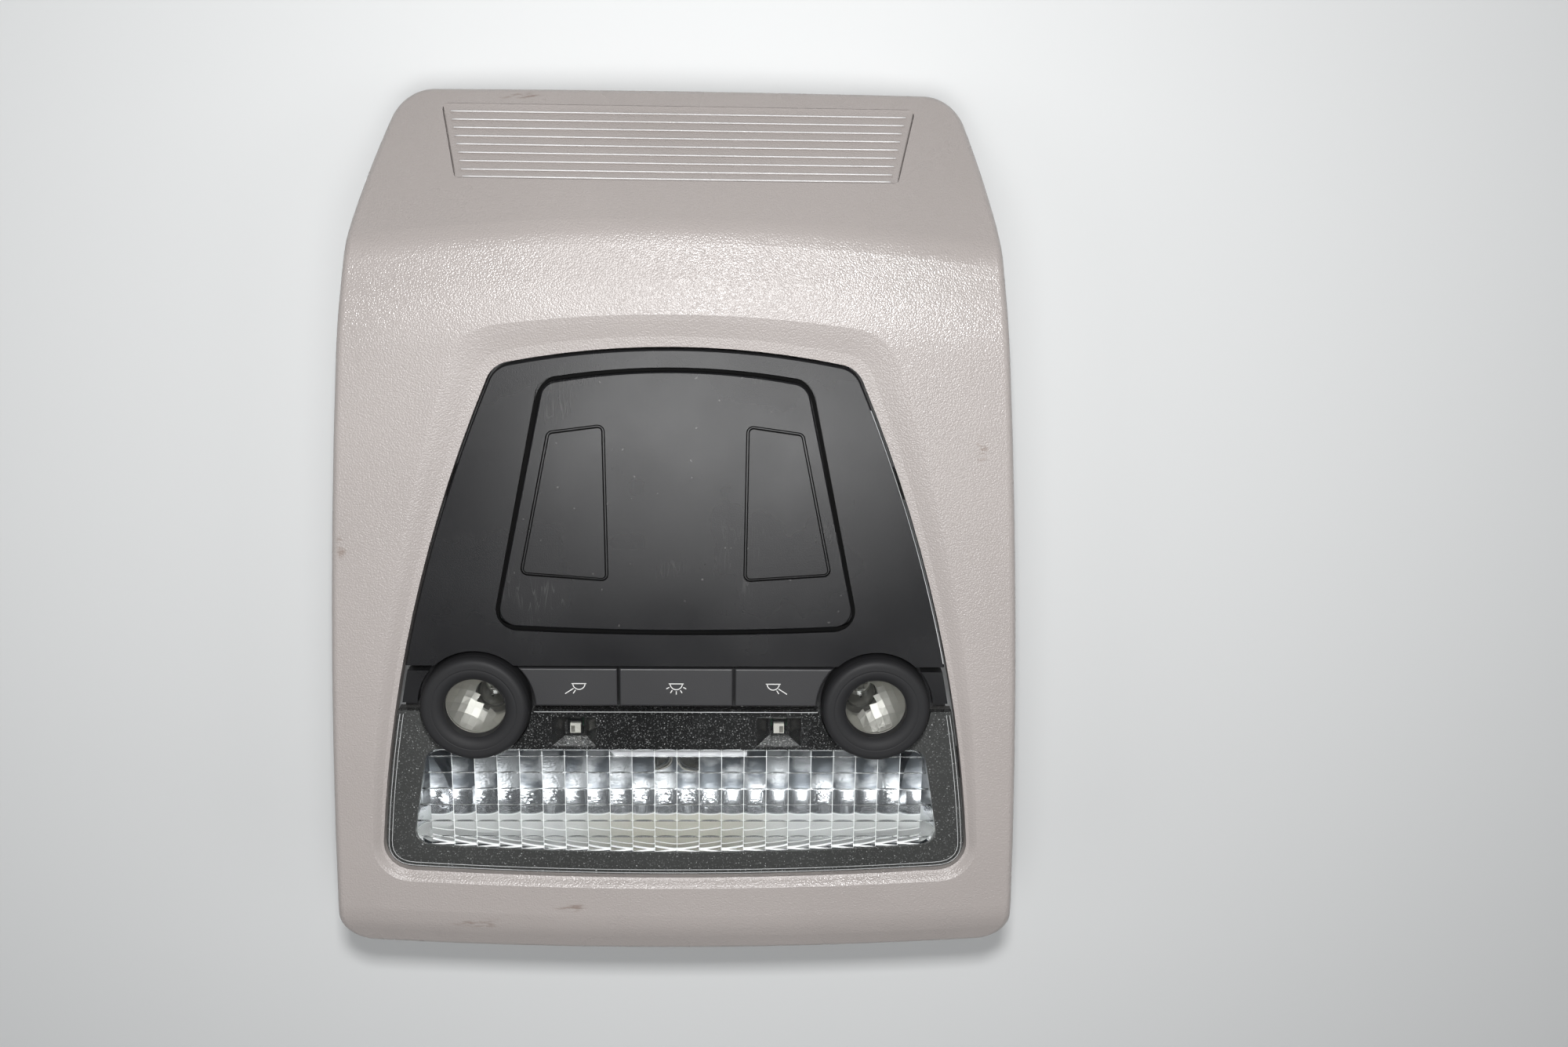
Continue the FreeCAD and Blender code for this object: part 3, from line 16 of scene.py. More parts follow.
import bpy
import numpy as np
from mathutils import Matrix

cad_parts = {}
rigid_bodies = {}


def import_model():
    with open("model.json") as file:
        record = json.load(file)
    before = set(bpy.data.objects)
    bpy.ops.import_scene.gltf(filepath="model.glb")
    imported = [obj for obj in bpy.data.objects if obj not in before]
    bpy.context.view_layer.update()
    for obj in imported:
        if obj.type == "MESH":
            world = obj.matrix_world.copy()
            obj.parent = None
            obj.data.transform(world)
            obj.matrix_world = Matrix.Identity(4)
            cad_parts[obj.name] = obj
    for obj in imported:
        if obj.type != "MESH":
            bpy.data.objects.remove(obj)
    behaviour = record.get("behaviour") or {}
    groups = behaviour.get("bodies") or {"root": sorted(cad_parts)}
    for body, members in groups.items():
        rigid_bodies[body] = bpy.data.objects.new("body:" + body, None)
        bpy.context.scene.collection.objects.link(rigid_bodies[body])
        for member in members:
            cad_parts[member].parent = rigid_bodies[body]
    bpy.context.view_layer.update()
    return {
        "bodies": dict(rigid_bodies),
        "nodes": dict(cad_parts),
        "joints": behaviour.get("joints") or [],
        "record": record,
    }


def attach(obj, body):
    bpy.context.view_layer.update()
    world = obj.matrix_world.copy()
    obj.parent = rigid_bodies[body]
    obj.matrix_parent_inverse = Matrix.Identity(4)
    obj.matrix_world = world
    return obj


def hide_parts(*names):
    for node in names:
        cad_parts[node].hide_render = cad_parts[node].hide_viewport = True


MM = 0.001
METRE = 1000.0
# Usual mottles per metre of a grained surface
MOTTLES = 22.0
# Tip of the main bulb: x, y and z
MAIN_BULB = (0.0, -69.9, 34.3)
# Rubbed marks on the trim: x, y, half length and half width
TRIM_STAINS = (
    (-43.5, 122.0, 8.0, 1.6),
    (-92.0, 1.0, 1.6, 4.0),
    (-58.0, -113.5, 9.0, 2.2),
    (-31.0, -108.5, 6.0, 1.6),
    (84.0, 30.0, 2.0, 5.0),
)
LOG = logging.getLogger("interior_light")

Pair = tuple[float, float]
Triple = tuple[float, float, float]
Colour = Triple
Material = bpy.types.Material
Piece = bpy.types.Object
Socket = bpy.types.NodeSocket
Shape = tuple[np.ndarray, np.ndarray]
Feed = Union[Socket, float, tuple[float, ...]]


class Side(Enum):
    """Which of the two mirrored halves a piece belongs to; the value is the sign of its X."""

    LEFT = -1
    RIGHT = 1

    @property
    def word(self) -> str:
        """The ending used in node names."""
        return self.name.lower()


class Symbol(Enum):
    """Lamp symbol on a key: rays to the lower left, all round, or to the lower right."""

    LEFT = "left"
    CENTRE = "centre"
    RIGHT = "right"


# Lines and meshes from arrays


def solid_mesh(name: str, points: np.ndarray, faces: np.ndarray, smooth: bool = True) -> Piece:
    """Put arrays of points in millimetres and faces into a new mesh object.

    Args:
        name: Name of the object and its mesh.
        points: Array of shape (n, 3) in millimetres.
        faces: Array of shape (faces, 4) of point numbers.
        smooth: Whether the faces are shaded smooth.

    Returns:
        The new object, at the origin.
    """
    mesh = bpy.data.meshes.new(name)
    mesh.from_pydata((points * MM).tolist(), [], faces.tolist())
    mesh.polygons.foreach_set("use_smooth", np.full(len(mesh.polygons), smooth))
    mesh.update()
    piece = bpy.data.objects.new(name, mesh)
    bpy.context.scene.collection.objects.link(piece)
    return piece


def grid_faces(rows: int, columns: int, wrap: bool = False) -> np.ndarray:
    """Quads of a grid of points numbered row by row.

    Args:
        rows: Points along the first parameter.
        columns: Points along the second parameter.
        wrap: Whether the last column joins the first.

    Returns:
        Array of shape (faces, 4).
    """
    across = columns if wrap else columns - 1
    row, column = np.meshgrid(np.arange(rows - 1), np.arange(across), indexing="ij")
    beside = (column + 1) % columns
    here, above = row * columns, (row + 1) * columns
    corners = [here + column, here + beside, above + beside, above + column]
    return np.stack(corners, axis=-1).reshape(-1, 4)


def turned_grid(profile: np.ndarray, steps: int) -> Shape:
    """Surface of revolution: each (radius, z) of the profile is carried round Z as radius*(cos a, sin a).

    Args:
        profile: Array of shape (n, 2) of radius and z.
        steps: Points round the turn.

    Returns:
        The points and the quads.
    """
    angle = np.linspace(0, 2 * np.pi, steps, endpoint=False)
    radius = profile[:, :1]
    height = np.broadcast_to(profile[:, 1:], (len(profile), steps))
    points = np.stack([radius * np.cos(angle), radius * np.sin(angle), height], axis=-1)
    return points.reshape(-1, 3), grid_faces(len(profile), steps, wrap=True)


def bead_profile(radius: float, height: float, bead: float, steps: int) -> np.ndarray:
    """Circle of a bead about (radius, height), for turning: radius + bead*cos a, height + bead*sin a.

    Args:
        radius: Distance of the bead's middle from the axis.
        height: Z of the bead's middle.
        bead: Radius of the bead.
        steps: Points round the circle, the first repeated at the end.

    Returns:
        Array of shape (steps, 2).
    """
    angle = np.linspace(0, 2 * np.pi, steps)
    return np.stack([radius + bead * np.cos(angle), height + bead * np.sin(angle)], axis=1)


def bar_along(path: np.ndarray, width: float, low: float, high: float) -> Shape:
    """Flat bar: a rectangle carried along a line in the XY plane, mitred at each corner.

    Args:
        path: Array of shape (n, 2), in order.
        width: Width of the bar.
        low: Z of its underside.
        high: Z of its top.

    Returns:
        The points and the quads, with both ends closed.
    """
    ahead = np.diff(path, axis=0)
    ahead /= np.linalg.norm(ahead, axis=1, keepdims=True)
    before = np.vstack([ahead[:1], ahead])
    after = np.vstack([ahead, ahead[-1:]])
    mean = before + after
    mean /= np.linalg.norm(mean, axis=1, keepdims=True)
    across = np.stack([-mean[:, 1], mean[:, 0]], axis=1)
    across /= np.sum(mean * after, axis=1, keepdims=True)
    left = path + across * width / 2
    right = path - across * width / 2
    level = np.ones((len(path), 1))
    sides = ((left, high), (right, high), (right, low), (left, low))
    ring = np.stack([np.hstack([line, level * z]) for line, z in sides], axis=1)
    faces = grid_faces(len(path), 4, wrap=True)
    last = 4 * (len(path) - 1)
    ends = np.array([[3, 2, 1, 0], [last, last + 1, last + 2, last + 3]])
    return ring.reshape(-1, 3), np.vstack([faces, ends])


def tube_along(path: np.ndarray, radius: float, steps: int = 8) -> Shape:
    """Round wire: a circle carried along a path, in the planes square to it, drawn to a point at each end.

    Args:
        path: Array of shape (n, 3), in order.
        radius: Radius of the wire.
        steps: Points round the circle.

    Returns:
        The points and the quads.
    """
    ahead = np.gradient(path, axis=0)
    ahead /= np.linalg.norm(ahead, axis=1, keepdims=True)
    # Any direction that no wire follows
    aslant = [0.31, 0.87, 0.19]
    side = np.cross(ahead, aslant)
    side /= np.linalg.norm(side, axis=1, keepdims=True)
    other = np.cross(ahead, side)
    angle = np.linspace(0, 2 * np.pi, steps, endpoint=False)[None, :, None]
    ring = path[:, None] + radius * (np.cos(angle) * side[:, None] + np.sin(angle) * other[:, None])
    tips = np.repeat(path[[0, -1], None], steps, axis=1)
    ring = np.concatenate([tips[:1], ring, tips[1:]])
    return ring.reshape(-1, 3), grid_faces(len(ring), steps, wrap=True)


def plate_on(corners: np.ndarray, lift: float, wall: float) -> Shape:
    """Thin four-sided plate over a flat patch.

    Args:
        corners: Array of shape (4, 3), anticlockwise as seen from the free side.
        lift: Height of the plate's free face over the patch.
        wall: Thickness of the plate.

    Returns:
        The eight points, at two heights along the patch's normal, and the six quads.
    """
    normal = np.cross(corners[1] - corners[0], corners[3] - corners[0])
    normal /= np.linalg.norm(normal)
    points = np.vstack([corners + normal * lift, corners + normal * (lift - wall)])
    around = np.arange(4)
    rim = np.stack([around, around + 4, (around + 1) % 4 + 4, (around + 1) % 4], axis=1)
    return points, np.vstack([[[0, 1, 2, 3], [7, 6, 5, 4]], rim])


def joined(parts: list[Shape]) -> Shape:
    """Several point and quad arrays as one, with the quads renumbered.

    Args:
        parts: The shapes, in order.

    Returns:
        The points and the quads.
    """
    starts = np.cumsum([0] + [len(points) for points, _ in parts[:-1]])
    faces = [quads + start for (_, quads), start in zip(parts, starts)]
    return np.vstack([points for points, _ in parts]), np.vstack(faces)


def bend(start: np.ndarray, corner: np.ndarray, end: np.ndarray, steps: int = 8) -> np.ndarray:
    """Quadratic curve from a start to an end, drawn towards a corner.

    Args:
        start: First point, of shape (2,).
        corner: The point that draws the curve.
        end: Last point.
        steps: Points along the curve, both ends counted.

    Returns:
        Array of shape (steps - 2, 2): the points between the ends.
    """
    t = np.linspace(0.0, 1.0, steps)[1:-1, None]
    return start * (1 - t) ** 2 + corner * 2 * t * (1 - t) + end * t**2


def mirrored(right: np.ndarray) -> np.ndarray:
    """Line that goes back along its mirror image in X after its last point."""
    return np.vstack([right, (right * [-1.0, 1.0])[::-1][1:]])


def rounded_loop(corners: np.ndarray, radius: float, inset: float, steps: int = 6) -> np.ndarray:
    """Closed four-sided line moved in by an inset, with each corner an arc.

    Args:
        corners: Array of shape (4, 2), in order round the shape.
        radius: Radius of the corners before the inset.
        inset: How far the line moves in.
        steps: Points in each corner.

    Returns:
        Array of shape (4 * steps + 1, 2), the first point repeated at the end. Each arc point is the corner's
        centre plus the radius along a direction that swings from one side's outward normal to the next's.
    """
    sides = np.roll(corners, -1, axis=0) - corners
    ahead = sides / np.linalg.norm(sides, axis=1, keepdims=True)
    turn = np.sign(np.cross(ahead[0], ahead[1]))
    out_after = turn * np.stack([ahead[:, 1], -ahead[:, 0]], axis=1)
    out_before = np.roll(out_after, 1, axis=0)
    middle = out_before + out_after
    centres = corners - radius * middle / (1 + np.sum(out_before * out_after, axis=1, keepdims=True))
    share = np.linspace(0.0, 1.0, steps)[None, :, None]
    way = out_before[:, None, :] * (1 - share) + out_after[:, None, :] * share
    way /= np.linalg.norm(way, axis=2, keepdims=True)
    loop = (centres[:, None, :] + (radius - inset) * way).reshape(-1, 2)
    return np.vstack([loop, loop[:1]])


def bowed_loop(top: Triple, low: Triple, radius: float, steps: int = 12) -> np.ndarray:
    """Closed symmetric four-sided line with bowed ends and straight sides.

    Args:
        top: Half width, Y at the corner and bow of the upper end.
        low: Half width, Y at the corner and bow of the lower end.
        radius: How far each corner's curve reaches along its sides.
        steps: Points along half of each end.

    Returns:
        Array of shape (n, 2). Each end is a parabola through its bow, and each corner a quadratic curve.
    """
    ends = []
    for half, y, bow in (top, low):
        x = np.linspace(0.0, half - radius, steps)
        ends.append(np.stack([x, y + bow * (1 - (x / half) ** 2)], axis=1))
    corners = np.array([top[:2], low[:2]])
    way = corners[1] - corners[0]
    way /= np.linalg.norm(way)
    starts = (corners[0] + way * radius, corners[1] - way * radius)
    bends = [bend(end[-1], corner, start) for end, corner, start in zip(ends, corners, starts)]
    return mirrored(np.vstack([ends[0], bends[0], starts[0], starts[1], bends[1][::-1], ends[1][::-1]]))


# Shader nodes


class Bench:
    """Adds nodes to one tree, and sets or links what goes into them."""

    def __init__(self, tree: bpy.types.NodeTree) -> None:
        """Work on a tree."""
        self.tree = tree

    def feed(self, socket: Socket, value: Feed) -> None:
        """Link an output to a socket, or set the socket's own value.

        Args:
            socket: The input.
            value: Another node's output, or a value.
        """
        if isinstance(value, Socket):
            self.tree.links.new(value, socket)
        else:
            socket.default_value = value

    def node(self, kind: str, feeds: dict[str | int, Feed], **settings: object) -> bpy.types.Node:
        """Add a node.

        Args:
            kind: Type of the node.
            feeds: What goes into its inputs, by their names or numbers.
            settings: Its own properties, which are set first.

        Returns:
            The new node.
        """
        made = self.tree.nodes.new(kind)
        for name, value in settings.items():
            setattr(made, name, value)
        for key, value in feeds.items():
            self.feed(made.inputs[key], value)
        return made

    def place(self) -> Socket:
        """Place of the shaded point on its piece."""
        return self.node("ShaderNodeTexCoord", {}).outputs["Object"]

    def noise(self, place: Socket, scale: Feed, detail: float) -> Socket:
        """Cloudy noise of so many waves per metre."""
        feeds = {"Vector": place, "Scale": scale, "Detail": detail}
        return self.node("ShaderNodeTexNoise", feeds).outputs["Fac"]

    def math(self, operation: str, *terms: Feed) -> Socket:
        """One step of arithmetic."""
        return self.node("ShaderNodeMath", dict(enumerate(terms)), operation=operation).outputs[0]

    def span(self, value: Socket, ends: Pair, goals: tuple[Feed, Feed] = (0.0, 1.0)) -> Socket:
        """Carry a value from one span to another, held at both ends.

        Args:
            value: The value.
            ends: Ends of the span it comes from.
            goals: What the ends become, as values or outputs.

        Returns:
            The carried value.
        """
        limits = dict(zip(("From Min", "From Max", "To Min", "To Max"), (*ends, *goals)))
        return self.node("ShaderNodeMapRange", {"Value": value, **limits}).outputs[0]

    def mix(self, share: Socket, low: Socket | Colour, high: Socket | Colour) -> Socket:
        """Colour between two others.

        Args:
            share: 0 for the first colour, 1 for the second.
            low: The first colour.
            high: The second colour.

        Returns:
            The mixed colour.
        """
        tones = [tone if isinstance(tone, Socket) else (*tone, 1.0) for tone in (low, high)]
        feeds = {"Factor": share, "A": tones[0], "B": tones[1]}
        return self.node("ShaderNodeMix", feeds, data_type="RGBA").outputs["Result"]


class Groups:
    """Node groups that several finishes share, each built once and kept."""

    _made: dict[str, bpy.types.NodeTree] = {}
    # Detail of each noise
    grain_detail = 2.0
    mottle_detail = 4.0
    stain_detail = 3.0
    scratch_detail = 1.0
    patch_detail = 3.0
    # Stains: where the oval fades, its strongest share, and the streaks that break it up
    stain_fade = (1.0, 0.1)
    stain_most = 0.8
    stain_streak = (0.25, 1.0, 1.0)
    stain_waves = 900.0
    stain_kept = (0.5, 0.66)
    # Scratches: turn in radians and waves per metre across, then stretch, bend and level of a line
    scratch_ways = ((0.55, 420.0), (-0.95, 520.0), (1.45, 360.0))
    scratch_stretch = 9.0
    scratch_bend = 0.4
    scratch_level = 0.56
    scratch_width = (0.012, 0.004)
    scratch_patches = 45.0
    scratch_reach = (1.0, 1.25)
    # Flecks: how far their outlines are pulled about in metres, and their edge as a share of a cell
    fleck_waves = 900.0
    fleck_pull = 0.0012
    fleck_edge = (0.22, 0.12)

    @classmethod
    def _start(cls, name: str, inputs: dict[str, float], outputs: list[str]) -> tuple:
        """Make an empty group with named float sockets.

        Args:
            name: Name of the group.
            inputs: Input names with their usual values.
            outputs: Output names.

        Returns:
            A bench on the group's tree, the outputs of its input node and the inputs of its output node.
        """
        tree = bpy.data.node_groups.new(name, "ShaderNodeTree")
        for label, value in inputs.items():
            socket = tree.interface.new_socket(label, in_out="INPUT", socket_type="NodeSocketFloat")
            socket.default_value = value
        for label in outputs:
            tree.interface.new_socket(label, in_out="OUTPUT", socket_type="NodeSocketFloat")
        cls._made[name] = tree
        start, end = (tree.nodes.new(kind) for kind in ("NodeGroupInput", "NodeGroupOutput"))
        return Bench(tree), start.outputs, end.inputs

    @classmethod
    def grain(cls) -> bpy.types.NodeTree:
        """Moulded grain: a pebbled height at the grain size, and a slow mottle over the piece.

        Returns:
            The group.
        """
        name = "moulded_grain"
        if name not in cls._made:
            inputs = {"Grains per metre": 1500.0, "Mottles per metre": MOTTLES}
            bench, given, wanted = cls._start(name, inputs, ["Height", "Mottle"])
            place = bench.place()
            grains = given["Grains per metre"]
            pebble = bench.node("ShaderNodeTexVoronoi", {"Vector": place, "Scale": grains})
            fine = bench.noise(place, grains, cls.grain_detail)
            bench.feed(wanted["Height"], bench.math("SUBTRACT", fine, pebble.outputs["Distance"]))
            bench.feed(wanted["Mottle"], bench.noise(place, given["Mottles per metre"], cls.mottle_detail))
        return cls._made[name]

    @classmethod
    def stain(cls) -> bpy.types.NodeTree:
        """Rubbed mark at one place: an oval that fades outwards, broken up by a streaky noise.

        Returns:
            The group.
        """
        name = "rubbed_stain"
        if name not in cls._made:
            inputs = {"X": 0.0, "Y": 0.0, "Length": 0.01, "Width": 0.01}
            bench, given, wanted = cls._start(name, inputs, ["Stain"])
            place = bench.place()
            axes = bench.node("ShaderNodeSeparateXYZ", {"Vector": place}).outputs
            squares = []
            for axis, size in (("X", "Length"), ("Y", "Width")):
                away = bench.math("SUBTRACT", axes[axis], given[axis])
                share = bench.math("DIVIDE", away, given[size])
                squares.append(bench.math("MULTIPLY", share, share))
            fade = bench.span(bench.math("ADD", *squares), cls.stain_fade, (0.0, cls.stain_most))
            streak = bench.node("ShaderNodeMapping", {"Vector": place, "Scale": cls.stain_streak})
            broken = bench.noise(streak.outputs[0], cls.stain_waves, cls.stain_detail)
            kept = bench.span(broken, cls.stain_kept)
            bench.feed(wanted["Stain"], bench.math("MULTIPLY", fade, kept))
        return cls._made[name]

    @classmethod
    def _scratch(cls, bench: Bench, place: Socket, turn: float, across: float) -> Socket:
        """Hairlines in one direction: where a noise, stretched along it, crosses one level.

        Args:
            bench: Bench on the group's tree.
            place: Place on the piece.
            turn: Direction across the lines, in radians about Z.
            across: Waves per metre across the lines.

        Returns:
            The mask of the lines.
        """
        along = across / cls.scratch_stretch
        feeds = {"Vector": place, "Rotation": (0.0, 0.0, turn), "Scale": (across, along, along)}
        turned = bench.node("ShaderNodeMapping", feeds).outputs["Vector"]
        feeds = {"Vector": turned, "Scale": 1.0, "Detail": cls.scratch_detail, "Distortion": cls.scratch_bend}
        noise = bench.node("ShaderNodeTexNoise", feeds).outputs["Fac"]
        off = bench.math("ABSOLUTE", bench.math("SUBTRACT", noise, cls.scratch_level))
        return bench.span(off, cls.scratch_width)

    @classmethod
    def wear_and_glints(cls) -> bpy.types.NodeTree:
        """Hairline scratches in three directions, kept to patches, and loose flecks: handling wear, and
        painted glints where a finish colours them light.

        Returns:
            The group.
        """
        name = "handling_wear_and_glints"
        if name not in cls._made:
            inputs = {"Scratch reach": 0.5, "Fleck share": 0.5, "Flecks per metre": 300.0}
            bench, given, wanted = cls._start(name, inputs, ["Scratches", "Flecks"])
            place = bench.place()
            first, second, third = (cls._scratch(bench, place, *way) for way in cls.scratch_ways)
            lines = bench.math("MAXIMUM", bench.math("MAXIMUM", first, second), third)
            patches = bench.noise(place, cls.scratch_patches, cls.patch_detail)
            reach = bench.math("ADD", given["Scratch reach"], patches)
            held = bench.span(reach, cls.scratch_reach)
            bench.feed(wanted["Scratches"], bench.math("MULTIPLY", lines, held))
            bent = bench.node("ShaderNodeTexNoise", {"Vector": place, "Scale": cls.fleck_waves})
            feeds = {0: bent.outputs["Color"], 1: (cls.fleck_pull,) * 3, 2: place}
            pulled = bench.node("ShaderNodeVectorMath", feeds, operation="MULTIPLY_ADD").outputs[0]
            feeds = {"Vector": pulled, "Scale": given["Flecks per metre"]}
            cells = bench.node("ShaderNodeTexVoronoi", feeds).outputs
            dot = bench.span(cells["Distance"], cls.fleck_edge)
            rare = bench.math("LESS_THAN", cells["Color"], given["Fleck share"])
            bench.feed(wanted["Flecks"], bench.math("MULTIPLY", dot, rare))
        return cls._made[name]


class Paint(Bench):
    """A new material with one Principled shader, and the steps that several finishes share."""

    least_roughness = 0.02
    mottle_span = (0.3, 0.7)

    def __init__(self, name: str) -> None:
        """Make the material."""
        self.material = bpy.data.materials.new(name)
        self.material.use_nodes = True
        super().__init__(self.material.node_tree)
        self.shader = self.tree.nodes["Principled BSDF"]

    def dress(self, feeds: dict[str, Feed]) -> None:
        """Set or link inputs of the shader."""
        for label, value in feeds.items():
            self.feed(self.shader.inputs[label], value)

    def group(self, tree: bpy.types.NodeTree, feeds: dict[str, Feed]) -> bpy.types.NodeOutputs:
        """Place a shared group with its own values, and give its outputs."""
        return self.node("ShaderNodeGroup", feeds, node_tree=tree).outputs

    def grain(self, size: float, mottles: float = MOTTLES) -> bpy.types.NodeOutputs:
        """Place the shared grain, by the size of a grain and the mottles per metre."""
        return self.group(Groups.grain(), {"Grains per metre": METRE / size, "Mottles per metre": mottles})

    def gloss(self, mottle: Socket, roughness: float, spread: float) -> None:
        """Let the roughness run with the mottle, by a spread to each side."""
        goals = (max(self.least_roughness, roughness - spread), min(1.0, roughness + spread))
        self.dress({"Roughness": self.span(mottle, self.mottle_span, goals)})

    def relief(self, height: Socket, depth: float, strength: float) -> None:
        """Bump the surface by a height of the given depth."""
        feeds = {"Strength": strength, "Distance": depth * MM, "Height": height}
        self.dress({"Normal": self.node("ShaderNodeBump", feeds).outputs["Normal"]})


# Finishes


@dataclass(frozen=True)
class MouldedPlastic:
    """Opaque plastic with a moulded grain, a slow mottle, scratches, flecks, painted glints and stains.

    The grain is a bump of the given depth; the colour runs between two tones with the mottle, and goes to the
    mark colour in the scratches, the flecks and the crests of the grain: dark marks are wear, light ones
    painted glints.
    """

    name: str
    colour: Colour
    roughness: float
    grain: float = 0.6
    depth: float = 0.03
    mottle: float = 0.08
    scratch: float = 0.0
    fleck: float = 0.0
    flecks_per_metre: float = 650.0
    mark: Colour = (0.55, 0.54, 0.52)
    specular: float = 0.5
    rough_spread: float = 0.08
    bump: float = 1.0
    crest_glint: float = 0.0
    crest_span: Pair = (0.16, 0.42)
    stains: tuple[tuple[float, float, float, float], ...] = ()
    stain_colour: Colour = (0.27, 0.21, 0.18)

    def marks(self, paint: Paint, height: Socket) -> list[tuple[Socket, Colour]]:
        """Marks on the surface and painted glints, in the order in which they are laid on.

        Args:
            paint: The material.
            height: Height of the grain.

        Returns:
            The mask and the colour of each.
        """
        found = []
        # Scratches and flecks: wear where the mark colour is dark, painted glints where it is light
        if self.scratch or self.fleck:
            sizes = (self.scratch, self.fleck, self.flecks_per_metre)
            feeds = dict(zip(("Scratch reach", "Fleck share", "Flecks per metre"), sizes))
            wear_and_glints = paint.group(Groups.wear_and_glints(), feeds)
            found += [(wear_and_glints["Scratches"], self.mark), (wear_and_glints["Flecks"], self.mark)]
        # Painted glints: the grain's crests go towards the light mark colour
        if self.crest_glint:
            found.append((paint.span(height, self.crest_span, (0.0, self.crest_glint)), self.mark))
        for sizes in self.stains:
            feeds = dict(zip(("X", "Y", "Length", "Width"), (size * MM for size in sizes)))
            found.append((paint.group(Groups.stain(), feeds)["Stain"], self.stain_colour))
        return found

    def build(self) -> Material:
        """Make the material.

        Returns:
            The material.
        """
        paint = Paint(self.name)
        grain = paint.grain(self.grain)
        low = tuple(c * (1 - self.mottle) for c in self.colour)
        high = tuple(min(1.0, c * (1 + self.mottle)) for c in self.colour)
        tone = paint.mix(grain["Mottle"], low, high)
        for mask, colour in self.marks(paint, grain["Height"]):
            tone = paint.mix(mask, tone, colour)
        paint.dress({"Base Color": tone, "Specular IOR Level": self.specular})
        paint.gloss(grain["Mottle"], self.roughness, self.rough_spread)
        paint.relief(grain["Height"], self.depth, self.bump)
        return paint.material


@dataclass(frozen=True)
class ClearMoulding:
    """Clear plastic or glass with a faint waviness, which casts no shadow of its own."""

    name: str
    colour: Colour
    ior: float = 1.49
    roughness: float = 0.0
    wave: float = 2.0
    depth: float = 0.002
    bump: float = 0.3

    def build(self) -> Material:
        """Make the material.

        Returns:
            The material.
        """
        paint = Paint(self.name)
        tint = (*self.colour, 1.0)
        paint.dress({"Base Color": tint, "Roughness": self.roughness, "IOR": self.ior})
        paint.dress({"Transmission Weight": 1.0})
        shadow = paint.node("ShaderNodeLightPath", {}).outputs["Is Shadow Ray"]
        through = paint.node("ShaderNodeBsdfTransparent", {"Color": tint}).outputs["BSDF"]
        feeds = {"Fac": shadow, 1: paint.shader.outputs["BSDF"], 2: through}
        choice = paint.node("ShaderNodeMixShader", feeds).outputs["Shader"]
        paint.feed(paint.tree.nodes["Material Output"].inputs["Surface"], choice)
        paint.relief(paint.grain(self.wave)["Height"], self.depth, self.bump)
        return paint.material


@dataclass(frozen=True)
class BrightMetal:
    """Metal or metallised plastic with a faint grain and an uneven gloss."""

    name: str
    colour: Colour
    roughness: float
    spread: float = 0.06
    grain: float = 1.4
    depth: float = 0.004
    bump: float = 0.5

    def build(self) -> Material:
        """Make the material.

        Returns:
            The material.
        """
        paint = Paint(self.name)
        paint.dress({"Base Color": (*self.colour, 1.0), "Metallic": 1.0})
        grain = paint.grain(self.grain)
        paint.gloss(grain["Mottle"], self.roughness, self.spread)
        paint.relief(grain["Height"], self.depth, self.bump)
        return paint.material


@dataclass(frozen=True)
class TroughMetal:
    """Metallised trough: a polished band, a duller upper zone with light patches and a satin lower wall.

    The lower wall is where Y is below wall_y, and it goes from the wall's colour in the middle to that of its
    sides. The upper zone is where Y is above zone_y. A fine stipple shows where a slow noise is high.
    """

    name: str
    colour: Colour
    wall_colour: Colour
    wall_side: Colour = (0.31, 0.315, 0.31)
    wall_span: Pair = (14.0, 34.0)
    roughness: float = 0.1
    wall_roughness: float = 0.42
    wall_metal: float = 0.15
    wall_y: float = -85.9
    wall_edge: float = 0.3
    zone_y: float = -79.9
    zone_edge: float = 0.4
    zone_dark: Colour = (0.09, 0.098, 0.108)
    zone_light: Colour = (0.29, 0.30, 0.31)
    zone_roughness: float = 0.32
    stipple: float = 0.45
    patches_per_metre: float = 110.0
    patch_span: Pair = (0.44, 0.56)
    depth: float = 0.05
    bump: float = 0.7

    def build(self) -> Material:
        """Make the material.

        Returns:
            The material.
        """
        paint = Paint(self.name)
        whole = (0.0, 1.0)
        axes = paint.node("ShaderNodeSeparateXYZ", {"Vector": paint.place()}).outputs
        ends = ((self.wall_y + self.wall_edge) * MM, (self.wall_y - self.wall_edge) * MM)
        wall = paint.span(axes["Y"], ends)
        ends = ((self.zone_y - self.zone_edge) * MM, (self.zone_y + self.zone_edge) * MM)
        zone = paint.span(axes["Y"], ends)
        grain = paint.grain(self.stipple, self.patches_per_metre)
        patch = paint.span(grain["Mottle"], self.patch_span)
        upper = paint.mix(zone, self.colour, paint.mix(patch, self.zone_dark, self.zone_light))
        aside = paint.span(paint.math("ABSOLUTE", axes["X"]), tuple(x * MM for x in self.wall_span))
        lower = paint.mix(aside, self.wall_colour, self.wall_side)
        above = paint.span(zone, whole, (self.roughness, self.zone_roughness))
        paint.dress({
            "Base Color": paint.mix(wall, upper, lower),
            "Metallic": paint.span(wall, whole, (1.0, self.wall_metal)),
            "Roughness": paint.span(wall, whole, (above, self.wall_roughness)),
        })
        paint.relief(paint.math("MULTIPLY", grain["Height"], patch), self.depth, self.bump)
        return paint.material


@dataclass(frozen=True)
class FloorSheet:
    """Matte sheet of the floor: two near tones that run into each other."""

    name: str
    low: Colour
    high: Colour
    roughness: float = 0.6
    clouds: float = 6.0

    def build(self) -> Material:
        """Make the material.

        Returns:
            The material.
        """
        paint = Paint(self.name)
        cloud = paint.node("ShaderNodeTexNoise", {"Scale": self.clouds}).outputs["Fac"]
        paint.dress({"Base Color": paint.mix(cloud, self.low, self.high), "Roughness": self.roughness})
        return paint.material


Finish = Union[MouldedPlastic, ClearMoulding, BrightMetal, TroughMetal]

